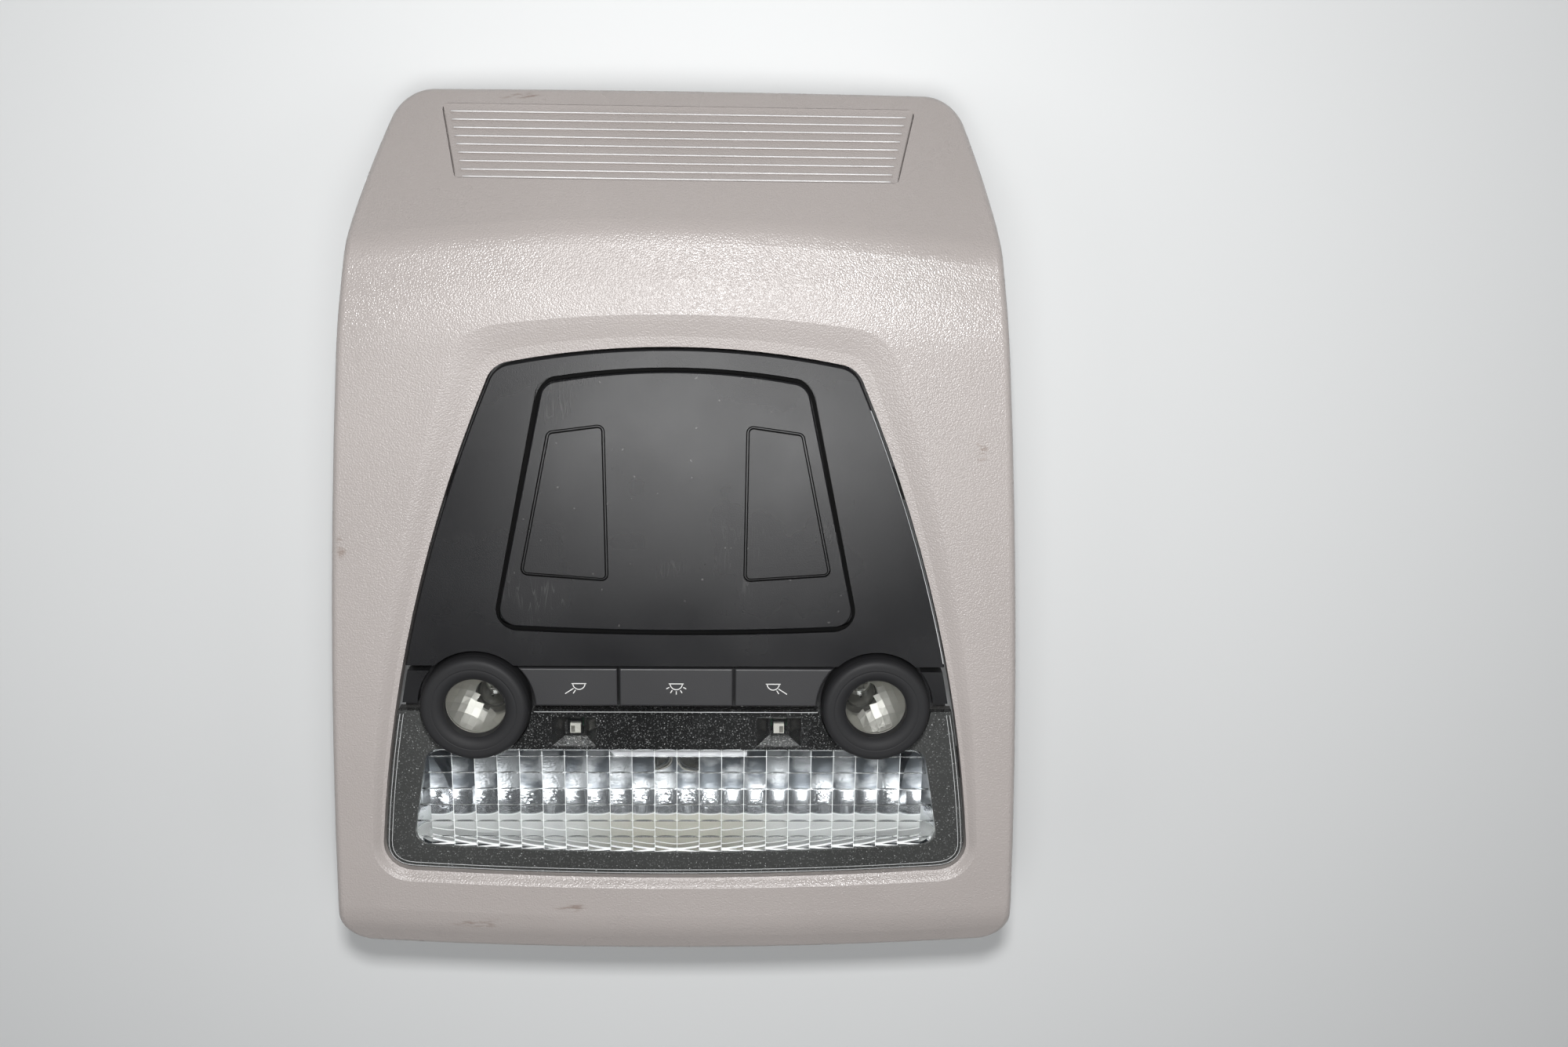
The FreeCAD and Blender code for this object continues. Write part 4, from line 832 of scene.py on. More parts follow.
# All finishes of the light: one for each of the record's slots, and the ones of the new pieces
FINISHES: tuple[Finish, ...] = (
    MouldedPlastic(
        "trim_grey", (0.438, 0.398, 0.38), 0.29, grain=0.48, depth=0.088, mottle=0.05, scratch=0.32,
        fleck=0.03, flecks_per_metre=420.0, mark=(0.30, 0.26, 0.25), bump=0.9, specular=0.7,
        stains=TRIM_STAINS,
    ),
    MouldedPlastic(
        "black_matte", (0.012, 0.012, 0.0132), 0.27, grain=0.3, depth=0.012, mottle=0.12, scratch=0.36,
        fleck=0.05, mark=(0.07, 0.07, 0.07),
    ),
    MouldedPlastic(
        "black_worn", (0.012, 0.012, 0.0132), 0.27, grain=0.3, depth=0.012, mottle=0.15, scratch=0.42,
        fleck=0.12, mark=(0.1, 0.098, 0.096),
    ),
    MouldedPlastic(
        "black_key", (0.036, 0.036, 0.038), 0.42, grain=0.3, depth=0.01, mottle=0.12, fleck=0.03,
        mark=(0.1, 0.1, 0.1),
    ),
    MouldedPlastic(
        "black_ring", (0.021, 0.021, 0.0225), 0.6, grain=0.3, depth=0.012, mottle=0.1, specular=0.3,
    ),
    MouldedPlastic("black_gloss", (0.006, 0.006, 0.006), 0.16, depth=0.004, specular=0.3),
    MouldedPlastic("shadow_black", (0.002, 0.002, 0.002), 0.7, depth=0.004, specular=0.1),
    # Painted highlight on the louvre's rib crests; its light flecks are painted glints
    MouldedPlastic(
        "rib_crest_highlight", (0.8, 0.78, 0.77), 0.3, grain=0.3, depth=0.06, mottle=0.3, fleck=0.4,
        flecks_per_metre=1100.0, mark=(0.95, 0.95, 0.94),
    ),
    # Painted shade in the corner at each slanted end of the louvre
    MouldedPlastic("trim_shade", (0.2, 0.18, 0.17), 0.5, grain=0.4, depth=0.03),
    # Light flecks and lit grain crests are painted glints
    MouldedPlastic(
        "funnel_grain", (0.07, 0.07, 0.07), 0.25, grain=0.6, depth=0.12, mottle=0.3, fleck=0.6,
        flecks_per_metre=1100.0, mark=(0.75, 0.75, 0.74), crest_glint=0.5,
    ),
    MouldedPlastic("visor_pale", (0.36, 0.36, 0.37), 0.25, grain=0.4, depth=0.02, mottle=0.3),
    MouldedPlastic("led_dark", (0.09, 0.085, 0.075), 0.25, depth=0.006),
    MouldedPlastic("black_frame", (0.012, 0.012, 0.013), 0.3, grain=0.5, depth=0.012),
    ClearMoulding("clear", (0.97, 0.98, 0.98), roughness=0.02),
    # Light flecks and lit grain crests are painted glints
    MouldedPlastic(
        "dark_grain", (0.068, 0.068, 0.066), 0.3, grain=0.6, depth=0.09, mottle=0.15, fleck=0.36,
        flecks_per_metre=1300.0, mark=(0.62, 0.62, 0.62), crest_glint=0.22,
    ),
    # Light flecks and lit grain crests are painted glints
    MouldedPlastic(
        "bar_grain", (0.013, 0.013, 0.013), 0.26, grain=0.55, depth=0.11, mottle=0.3, fleck=0.45,
        flecks_per_metre=1400.0, mark=(0.55, 0.55, 0.55), crest_glint=0.3,
    ),
    BrightMetal("bright", (0.31, 0.302, 0.28), 0.47),
    TroughMetal("trough", (0.80, 0.82, 0.85), (0.24, 0.232, 0.2)),
    ClearMoulding("bulb_glass", (0.98, 0.98, 0.97), ior=1.5),
    MouldedPlastic("holder_grey", (0.55, 0.54, 0.5), 0.5),
    MouldedPlastic("led_body", (0.34, 0.33, 0.30), 0.25, depth=0.006),
    MouldedPlastic("board_green", (0.02, 0.12, 0.05), 0.35, depth=0.004),
    MouldedPlastic("silicone", (0.3, 0.3, 0.3), 0.6, depth=0.004),
    MouldedPlastic("socket_dark", (0.02, 0.02, 0.02), 0.45),
    BrightMetal("tin", (0.7, 0.7, 0.67), 0.25),
    BrightMetal("steel", (0.5, 0.5, 0.5), 0.32, grain=0.8),
    # Painted highlight lines along the edges of the lens and the face plate
    MouldedPlastic("edge_highlight", (0.6, 0.61, 0.61), 0.3, grain=0.25, depth=0.02, mottle=0.35),
    MouldedPlastic("print_white", (0.82, 0.82, 0.8), 0.5, grain=0.2, depth=0.003, mottle=0.04),
)


class Palette:
    """Builds the finishes once, and dresses solids and new pieces with them."""

    def __init__(self, finishes: tuple[Finish, ...]) -> None:
        """Build every finish as a material."""
        self._materials = {finish.name: finish.build() for finish in finishes}

    def dress(self, piece: Piece, finish: str) -> None:
        """Give a piece one finish all over."""
        piece.data.materials.clear()
        piece.data.materials.append(self._materials[finish])

    def piece(self, name: str, shape: Shape, finish: str, smooth: bool = True) -> Piece:
        """Make a new piece and dress it.

        Args:
            name: Name of the piece.
            shape: Its points in millimetres and its quads.
            finish: Its finish.
            smooth: Whether its faces are shaded smooth.

        Returns:
            The new object.
        """
        made = solid_mesh(name, *shape, smooth)
        self.dress(made, finish)
        LOG.info("made %s", name)
        return made


# Sub-assemblies


@dataclass
class SolidDress:
    """Dresses the solids that keep their own shape, each with the finish of its slot or a better one."""

    palette: Palette
    better: dict[str, str] = field(
        default_factory=lambda: {
            "blanking_cover": "black_worn",
            "funnel_bar": "bar_grain",
            "main_reflector": "trough",
            "reading_bezel_left": "black_ring",
            "reading_bezel_right": "black_ring",
        }
    )

    def dress(self, frame: dict) -> None:
        """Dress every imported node.
        """
        for part in frame["record"]["subparts"]:
            node = part["node"]
            self.palette.dress(frame["nodes"][node], self.better.get(node, part["material_slot"]))
            LOG.info("dressed %s", node)


@dataclass
class KeyRow:
    """White lamp symbols printed on the three keys: a bar, a bowl below it and rays."""

    palette: Palette
    crown_z: float = 52.6
    print_height: float = 0.05
    stroke: float = 0.25
    bar_half: float = 2.1
    dome_half: float = 1.72
    dome_drop: float = 1.75
    dome_points: int = 25
    symbol_y: float = -39.15
    side_x: float = 27.6
    ray_angles: tuple[float, ...] = (-62.0, -31.0, 0.0, 31.0, 62.0)
    ray_start: float = 2.25
    ray_end: float = 3.2
    long_ray: tuple[Pair, Pair] = ((1.55, -1.45), (3.95, -3.05))
    short_ray: tuple[Pair, Pair] = ((1.0, -1.95), (1.65, -2.95))

    def bowl_path(self) -> np.ndarray:
        """Half ellipse below the bar: x = half*cos a, y = -drop*sin a."""
        angle = np.linspace(0, np.pi, self.dome_points)
        return np.stack([self.dome_half * np.cos(angle), -self.dome_drop * np.sin(angle)], axis=1)

    def ray(self, angle: float) -> np.ndarray:
        """Straight ray out from the bar's middle, at an angle in radians from straight down."""
        way = np.array([math.sin(angle), -math.cos(angle)])
        return np.stack([way * self.ray_start, way * self.ray_end])

    def strokes(self, symbol: Symbol) -> list[np.ndarray]:
        """Lines of a symbol about the middle of its bar.

        Args:
            symbol: Which symbol.

        Returns:
            Paths in millimetres.
        """
        bar = np.array([[-self.bar_half, 0.0], [self.bar_half, 0.0]])
        paths = [bar, self.bowl_path()]
        if symbol is Symbol.CENTRE:
            return paths + [self.ray(math.radians(angle)) for angle in self.ray_angles]
        sign = -1.0 if symbol is Symbol.LEFT else 1.0
        return paths + [np.array(ray) * [sign, 1.0] for ray in (self.long_ray, self.short_ray)]

    def build(self) -> None:
        """Make one symbol per key; each rides on its key."""
        low, high = self.crown_z - self.print_height / 2, self.crown_z + self.print_height
        for symbol, x in ((Symbol.LEFT, -self.side_x), (Symbol.CENTRE, 0.0), (Symbol.RIGHT, self.side_x)):
            placed = [path + [x, self.symbol_y] for path in self.strokes(symbol)]
            shape = joined([bar_along(path, self.stroke, low, high) for path in placed])
            piece = self.palette.piece(f"key_symbol_{symbol.value}", shape, "print_white", smooth=False)
            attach(piece, f"key_{symbol.value}")


@dataclass
class Louvre:
    """The louvre's shallow floor, a painted highlight along each rib's crest and a painted shade line at each
    end.
    """

    palette: Palette
    low_y: float = 100.2
    high_y: float = 119.9
    low_half: float = 60.5
    high_half: float = 66.5
    ribs: int = 8
    crest_first: float = 0.35
    crest_gap: float = 2.3
    crest_sink: float = 0.18
    crest_radius: float = 0.21
    crest_points: int = 60
    floor_gap: float = 0.3
    floor_margin: float = 0.06
    floor_lip: float = 0.05
    floor_inset: float = 0.42
    floor_power: int = 8
    floor_wall: float = 0.3
    floor_grid: tuple[int, int] = (81, 41)
    end_margin: float = 1.2
    end_inset: float = 0.25
    end_sink: float = 0.3
    end_radius: float = 0.16
    end_points: int = 12
    axis_y: float = -579.0
    crease_y: float = 88.0
    crease_z: float = 49.11
    slope: float = math.radians(42.0)

    def skin(self, x: np.ndarray, y: np.ndarray, inset: float) -> np.ndarray:
        """Z of the brow: a slope over the distance from the crease's axis, less the inset."""
        reach = np.hypot(x, y - self.axis_y) + self.axis_y
        return self.crease_z - (reach - self.crease_y) * math.tan(self.slope) - inset / math.cos(self.slope)

    def half_at(self, y: np.ndarray) -> np.ndarray:
        """Half width of the louvre: a straight line from its lower to its upper edge."""
        share = (y - self.low_y) / (self.high_y - self.low_y)
        return self.low_half + (self.high_half - self.low_half) * share

    def crests(self) -> list[Shape]:
        """One thin round light bead per rib, along the rib's top: a painted highlight.

        Returns:
            The beads.
        """
        pitch = (self.high_y - self.low_y) / (self.ribs + 1)
        parts = []
        for y in [self.low_y + self.crest_first, *(self.low_y + pitch * np.arange(1, self.ribs + 1))]:
            x = np.linspace(-1.0, 1.0, self.crest_points) * (self.half_at(y) - self.crest_gap)
            path = np.stack([x, np.full_like(x, y), self.skin(x, y, self.crest_sink)], axis=1)
            parts.append(tube_along(path, self.crest_radius))
        return parts

    def floor_sheet(self) -> Shape:
        """Sheet between the ribs: across and up the louvre, at the brow's slope less an inset.

        The inset is the floor's, and fades by a high power to the lip's at the upper and lower edge.

        Returns:
            The points and the quads of the sheet, its underside and its rim.
        """
        columns, rows = self.floor_grid
        across, up = np.meshgrid(np.linspace(-1.0, 1.0, columns), np.linspace(0.0, 1.0, rows))
        y = self.low_y + self.floor_margin + (self.high_y - self.low_y - 2 * self.floor_margin) * up
        x = across * (self.half_at(y) - self.floor_gap)
        middle = 1 - (2 * up - 1) ** self.floor_power
        inset = self.floor_lip + (self.floor_inset - self.floor_lip) * middle
        top = np.stack([x, y, self.skin(x, y, inset)], axis=2).reshape(-1, 3)
        under = np.stack([x, y, self.skin(x, y, self.floor_inset + self.floor_wall)], axis=2).reshape(-1, 3)
        count = rows * columns
        faces = grid_faces(rows, columns)
        index = np.arange(count).reshape(rows, columns)
        rim = np.concatenate([index[0, :-1], index[:-1, -1], index[-1, :0:-1], index[:0:-1, 0]])
        after = np.roll(rim, -1)
        walls = np.stack([rim, rim + count, after + count, after], axis=1)
        return np.vstack([top, under]), np.vstack([faces, faces[:, ::-1] + count, walls])

    def end_shade_lines(self) -> list[Shape]:
        """Painted shade: a fine dark line in the corner at each slanted end.

        Returns:
            The two lines.
        """
        y = np.linspace(self.low_y + self.end_margin, self.high_y - self.end_margin, self.end_points)
        parts = []
        for sign in (-1.0, 1.0):
            x = sign * (self.half_at(y) - self.end_inset)
            path = np.stack([x, y, self.skin(x, y, self.end_sink)], axis=1)
            parts.append(tube_along(path, self.end_radius))
        return parts

    def build(self) -> None:
        """Make the floor, the crest highlights and the end shade lines."""
        for name, shape, finish in (
            ("louvre_floor", self.floor_sheet(), "trim_grey"),
            ("louvre_crest_highlights", joined(self.crests()), "rib_crest_highlight"),
            ("louvre_end_shades", joined(self.end_shade_lines()), "trim_shade"),
        ):
            piece = self.palette.piece(name, shape, finish, smooth=name != "louvre_floor")
            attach(piece, "console")


@dataclass
class GrooveShadows:
    """Painted shadow: dark lines along both walls of the grooves in the blanking cover, and a dark band in
    the gap round the cover.
    """

    palette: Palette
    corners: tuple[Pair, ...] = ((19.3, 35.8), (35.2, 33.6), (43.7, -7.3), (18.8, -9.1))
    corner_radius: float = 2.0
    groove: float = 1.0
    line: float = 0.3
    wall_gap: float = 0.02
    floor_z: float = 51.8
    top_z: float = 52.24
    gap_top: Triple = (36.6, 47.3, 3.5)
    gap_low: Triple = (51.2, -22.6, -1.5)
    gap_corner: float = 5.6
    gap_width: float = 1.1
    gap_floor_z: float = 49.95
    gap_top_z: float = 51.2

    def build(self) -> None:
        """Make the painted shadow lines of both grooves and of the gap as one piece."""
        corners = np.array(self.corners)
        beside = self.line / 2 + self.wall_gap
        parts = []
        for sign in (-1.0, 1.0):
            for inset in (beside, self.groove - beside):
                loop = rounded_loop(corners, self.corner_radius, inset) * [sign, 1.0]
                parts.append(bar_along(loop[:: int(sign)], self.line, self.floor_z, self.top_z))
        loop = bowed_loop(self.gap_top, self.gap_low, self.gap_corner)
        parts.append(bar_along(loop, self.gap_width, self.gap_floor_z, self.gap_top_z))
        piece = self.palette.piece("groove_shadows", joined(parts), "shadow_black", smooth=False)
        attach(piece, "console")


@dataclass
class Funnel:
    """Walls of one small light's funnel and the chip on its light, sized for the right-hand side."""

    palette: Palette
    side: Side
    in_x: float = 23.0
    out_x: float = 36.0
    top_y: float = -50.0
    low_y: float = -59.1
    mouth_z: float = 49.8
    throat_z: float = 42.3
    throat_half: float = 2.0
    led_x: float = 29.6
    led_y: float = -55.6
    led_z: float = 44.2
    reach: Pair = (0.04, 0.74)
    lift: float = 0.05
    wall: float = 0.03
    collar_half: float = 1.8
    collar_width: float = 0.5
    collar_low_z: float = 42.6
    collar_top_z: float = 43.2
    chip_x: Pair = (0.15, 1.3)
    chip_y: Pair = (-1.25, 0.7)
    chip_lift: float = 0.06
    chip_wall: float = 0.05

    def ring(self, share: float) -> np.ndarray:
        """Corners of the funnel at a share of the way from its mouth to its throat.

        Args:
            share: 0 at the mouth, 1 at the throat.

        Returns:
            Array of shape (4, 3).
        """
        x0, x1, y0, y1 = self.in_x, self.out_x, self.low_y, self.top_y
        mouth = np.array([[x0, y0], [x1, y0], [x1, y1], [x0, y1]])
        square = np.array([[-1, -1], [1, -1], [1, 1], [-1, 1]]) * self.throat_half + [self.led_x, self.led_y]
        flat = mouth * (1 - share) + square * share
        return np.hstack([flat, np.full((4, 1), self.mouth_z * (1 - share) + self.throat_z * share)])

    def patch(self, index: int) -> Shape:
        """Plate over one wall, from just inside the mouth to just above the light.

        Args:
            index: Number of the wall, from the lower one anticlockwise.

        Returns:
            The points and the quads.
        """
        high, low = (self.ring(share) for share in self.reach)
        after = (index + 1) % 4
        return plate_on(np.array([high[index], high[after], low[after], low[index]]), self.lift, self.wall)

    def collar(self) -> Shape:
        """Square dark frame that closes the throat round the light.

        Returns:
            The points and the quads.
        """
        around = np.array([[-1, 0], [-1, -1], [1, -1], [1, 1], [-1, 1], [-1, 0]])
        square = around * self.collar_half + [self.led_x, self.led_y]
        return bar_along(square, self.collar_width, self.collar_low_z, self.collar_top_z)

    def chip(self) -> Shape:
        """Darker plate on the outer half of the light.

        Returns:
            The points and the quads.
        """
        x0, x1 = (self.led_x + x for x in self.chip_x)
        y0, y1 = (self.led_y + y for y in self.chip_y)
        z = self.led_z
        corners = np.array([[x0, y0, z], [x1, y0, z], [x1, y1, z], [x0, y1, z]])
        return plate_on(corners, self.chip_lift, self.chip_wall)

    def build(self) -> None:
        """Make the dark walls, the grained lower wall and the chip."""
        word = self.side.word
        flip = np.array([float(self.side.value), 1.0, 1.0])
        walls = joined([self.patch(1), self.patch(2), self.patch(3), self.collar()])
        for name, shape, finish, slot in (
            (f"funnel_walls_{word}", walls, "black_gloss", "dark_grain"),
            (f"funnel_slope_{word}", self.patch(0), "funnel_grain", "dark_grain"),
            (f"led_chip_{word}", self.chip(), "led_dark", "led_body"),
        ):
            points, faces = shape
            turned = (points * flip, faces[:, :: self.side.value])
            piece = self.palette.piece(name, turned, finish, smooth=False)
            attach(piece, "console")


@dataclass
class LensEdges:
    """Painted highlights along the edges of the lens and the face plate, and the plate and the rim at the
    bulb.
    """

    palette: Palette
    # Fluted window: painted highlight lines at the flute roots and the row lines
    pitch: float = 6.5
    row_first: float = -62.75
    row_pitch: float = 5.05
    rows: int = 6
    row_gap: float = 0.5
    row_drop: float = 0.5
    row_share: float = 0.8
    root_z: float = 47.78
    width: float = 0.17
    top_y: float = -60.5
    top_half: float = 71.2
    low_y: float = -89.1
    low_half: float = 76.2
    bow: float = 2.9
    # Painted glints along the scalloped lower edges: rise, width and share of the window's bow of each
    scallops: tuple[Triple, ...] = ((0.0, 0.5, 1.0), (1.3, 0.14, 0.9), (3.1, 0.2, 0.0))
    scallop_share: Pair = (0.03, 0.97)
    scallop_points: int = 7
    scallop_top: float = 0.25
    scallop_low: float = 0.6
    tooth: float = 0.9
    tooth_power: float = 1.5
    # Painted highlight line along the window's upper edge
    window_half: float = 46.0
    window_y: float = -60.05
    window_width: float = 0.26
    window_depth: float = 0.4
    # Outline of the lamp unit: its right side, and its lower edge
    unit_top: float = 51.7
    unit_length: float = 148.2
    unit_top_half: float = 49.3
    unit_spread: float = 36.3
    unit_side_bow: float = 7.1
    unit_low: float = -96.5
    unit_low_half: float = 85.6
    unit_low_bow: float = 3.2
    # Painted highlight lines round the lens, and the one along its upper edge between the reading lights
    border_insets: Pair = (1.55, 2.5)
    border_side: Pair = (-48.6, -87.5)
    border_low_half: float = 76.0
    border_corner: Pair = (0.7, 0.4)
    border_points: int = 14
    border_width: float = 0.14
    face_low_z: float = 52.2
    face_top_z: float = 52.33
    upper_half: float = 40.5
    upper_y: float = -47.85
    upper_width: float = 0.16
    # Painted highlight along the face plate's bevelled right side
    bevel_glint_side: Pair = (40.0, -33.0)
    bevel_glint_inset: float = 0.95
    bevel_glint_points: int = 24
    bevel_glint_width: float = 0.2
    bevel_glint_low_z: float = 51.9
    bevel_glint_top_z: float = 52.2
    # Rim of the bulb's hole, and the pale plate over the bulb
    rim_radius: float = 5.2
    rim_bead: float = 0.25
    rim_z: float = 30.5
    rim_steps: tuple[int, int] = (13, 48)
    visor_half: float = 20.5
    visor_low_x: float = -17.5
    visor_low_y: float = -63.2
    visor_top_y: float = -60.3
    visor_z: float = 46.6
    visor_wall: float = 0.3

    def half_at(self, y: np.ndarray) -> np.ndarray:
        """Half width of the window at a Y: a straight line from the top to the lower corner."""
        share = (self.top_y - y) / (self.top_y - self.low_y)
        return self.top_half + (self.low_half - self.top_half) * share

    def low_at(self, x: np.ndarray) -> np.ndarray:
        """Lower edge of the window: low_y less a bow that is greatest in the middle."""
        return self.low_y - self.bow * (1 - (x / self.low_half) ** 2)

    def level_bar(self, half: float, y: float, width: float, low: float, high: float) -> Shape:
        """Straight bar across the lens at a Y, between two heights."""
        return bar_along(np.array([[-half, y], [half, y]]), width, low, high)

    def flute_roots(self) -> list[Shape]:
        """One thin light upright bar per flute root: a painted highlight.

        Returns:
            The bars.
        """
        count = int(self.top_half // self.pitch)
        parts = []
        for x in np.arange(-count, count + 1) * self.pitch:
            path = np.array([[x, self.low_at(x)], [x, self.top_y]])
            parts.append(bar_along(path, self.width, self.root_z - self.width, self.root_z))
        return parts

    def row_bars(self) -> list[Shape]:
        """One thin light level bar per row line: a painted highlight.

        Returns:
            The bars.
        """
        width = self.width * self.row_share
        low = self.root_z - self.row_drop
        levels = self.row_first - self.row_pitch * np.arange(self.rows)
        return [self.level_bar(self.half_at(y) - self.row_gap, y, width, low, low + width) for y in levels]

    def scalloped_edge(self, rise: float, width: float, bow: float) -> list[Shape]:
        """Painted glint along an edge, as one line per flute: a share of the window's bow plus a rise, up
        outwards by one tooth.

        Args:
            rise: Height of the edge over the window's lower corners.
            width: Width of the line.
            bow: Share of the window's bow that the edge follows.

        Returns:
            The lines.
        """
        count = int(self.low_half // self.pitch)
        share = np.linspace(*self.scallop_share, self.scallop_points)
        low, high = self.root_z - self.scallop_low, self.root_z - self.scallop_top
        parts = []
        for sign in (-1.0, 1.0):
            for index in range(count):
                x = sign * (index + share) * self.pitch
                sag = (self.low_at(x) - self.low_y) * bow
                y = self.low_y + sag + rise + self.tooth * share**self.tooth_power
                parts.append(bar_along(np.stack([x, y], axis=1)[:: int(sign)], width, low, high))
        return parts

    def side_line(self, ends: Pair, count: int, inset: float) -> np.ndarray:
        """Line down the unit's right side: the chord between its corners plus a parabola of the side's bow.

        Args:
            ends: Y of the first and the last point.
            count: Points along the line.
            inset: How far the line lies inside the side.

        Returns:
            Array of shape (count, 2).
        """
        y = np.linspace(*ends, count)
        share = (self.unit_top - y) / self.unit_length
        chord = self.unit_top_half + self.unit_spread * share
        return np.stack([chord + 4 * self.unit_side_bow * share * (1 - share) - inset, y], axis=1)

    def border(self, inset: float) -> Shape:
        """Line round the lens: down one side, along the bow at the bottom and up the other side.

        Args:
            inset: How far the line lies inside the unit's outline.

        Returns:
            The points and the quads.
        """
        side = self.side_line(self.border_side, self.border_points, inset)
        x = np.linspace(self.border_low_half, 0.0, self.border_points)
        sag = self.unit_low_bow * (1 - (x / self.unit_low_half) ** 2)
        low = np.stack([x, self.unit_low + inset - sag], axis=1)
        corner = np.array([side[-1, 0], low[0, 1]]) + self.border_corner
        path = mirrored(np.vstack([side, bend(side[-1], corner, low[0]), low]))
        return bar_along(path, self.border_width, self.face_low_z, self.face_top_z)

    def rims(self) -> list[Shape]:
        """Painted highlight lines round the lens, along its upper edge and the window's, and along the face
        plate's bevel.

        Returns:
            The lines.
        """
        face = (self.face_low_z, self.face_top_z)
        window = (self.root_z - self.window_depth, self.root_z)
        bevel_glint = self.side_line(self.bevel_glint_side, self.bevel_glint_points, self.bevel_glint_inset)
        return [
            *(self.border(inset) for inset in self.border_insets),
            self.level_bar(self.upper_half, self.upper_y, self.upper_width, *face),
            self.level_bar(self.window_half, self.window_y, self.window_width, *window),
            bar_along(bevel_glint, self.bevel_glint_width, self.bevel_glint_low_z, self.bevel_glint_top_z),
        ]

    def hole_rim(self) -> Shape:
        """Bead round the bulb's hole: a small circle turned about the bulb.

        Returns:
            The points and the quads.
        """
        around, turns = self.rim_steps
        points, faces = turned_grid(bead_profile(self.rim_radius, self.rim_z, self.rim_bead, around), turns)
        return points + [MAIN_BULB[0], MAIN_BULB[1], 0.0], faces

    def visor(self) -> Shape:
        """Pale plate over the top of the bulb, with one lower corner drawn in.

        Returns:
            The points and the quads.
        """
        half, z = self.visor_half, self.visor_z
        low = [[self.visor_low_x, self.visor_low_y, z], [half, self.visor_low_y, z]]
        top = [[half, self.visor_top_y, z], [-half, self.visor_top_y, z]]
        return plate_on(np.array(low + top), 0.0, self.visor_wall)

    def build(self) -> None:
        """Make all the painted highlight lines as one piece, then the plate and the rim at the bulb."""
        scallops = [line for sizes in self.scallops for line in self.scalloped_edge(*sizes)]
        shape = joined(self.flute_roots() + self.row_bars() + self.rims() + scallops)
        piece = self.palette.piece("lens_edge_highlights", shape, "edge_highlight", smooth=False)
        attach(piece, "console")
        for name, shape, finish in (
            ("visor_plate", self.visor(), "visor_pale"),
            ("bulb_hole_rim", self.hole_rim(), "bright"),
        ):
            part = self.palette.piece(name, shape, finish, smooth=name == "bulb_hole_rim")
            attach(part, "console")


@dataclass
class WedgeBulb:
    """Hollow glass of a wedge bulb standing along Z, with its two wires and the coil between them."""

    palette: Palette
    node: str
    x: float
    y: float
    tip_z: float
    radius: float = 4.8
    dome: float = 3.8
    dome_points: int = 14
    glass: float = 17.0
    wall: float = 0.45
    foot_wall: float = 2.5
    turns: int = 40
    wire: float = 0.16
    wire_gap: float = 1.5
    wire_start: float = 1.0
    wire_points: int = 6
    coil_radius: float = 0.42
    coil_turns: int = 11
    coil_steps: int = 16
    coil_drop: float = 6.5
    coil_wire: float = 0.6
    coil_sides: int = 6

    def shell_profile(self) -> np.ndarray:
        """Outside from foot to tip and back down inside: an ellipse quarter on a straight wall.

        Returns:
            Array of shape (n, 2) of radius and z.
        """
        turn = np.linspace(0, np.pi / 2, self.dome_points)
        dome = np.stack([self.radius * np.cos(turn), self.dome * (np.sin(turn) - 1)], axis=1)
        bore = self.radius - self.wall
        inner = dome[::-1] * [bore / self.radius, 1.0] - [0.0, self.wall]
        foot = -self.glass
        floor = foot + self.foot_wall
        return np.vstack([[0.0, foot], [self.radius, foot], dome, inner, [bore, floor], [0.0, floor]])

    def wires(self) -> list[Shape]:
        """Two upright wires and a helix between their ends, each a circle carried along a path.

        Returns:
            The wires and the coil.
        """
        parts = []
        for sign in (-1.0, 1.0):
            height = np.linspace(self.wire_start - self.glass, -self.coil_drop, self.wire_points)
            x = np.full_like(height, sign * self.wire_gap)
            parts.append(tube_along(np.stack([x, np.zeros_like(height), height], axis=1), self.wire))
        turn = np.linspace(0, 2 * np.pi * self.coil_turns, self.coil_steps * self.coil_turns)
        along = np.linspace(-self.wire_gap, self.wire_gap, len(turn))
        y, z = self.coil_radius * np.cos(turn), self.coil_radius * np.sin(turn)
        coil = np.stack([along, y, z - self.coil_drop], axis=1)
        parts.append(tube_along(coil, self.wire * self.coil_wire, self.coil_sides))
        return parts

    def build(self) -> None:
        """Make the glass in place of the solid bulb, and its wires."""
        place = np.array([self.x, self.y, self.tip_z])
        points, faces = turned_grid(self.shell_profile(), self.turns)
        glass = self.palette.piece(f"{self.node}_glass", (points + place, faces), "bulb_glass")
        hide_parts(self.node)
        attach(glass, "console")
        points, faces = joined(self.wires())
        wires = self.palette.piece(f"{self.node}_wires", (points + place, faces), "tin")
        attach(wires, "console")


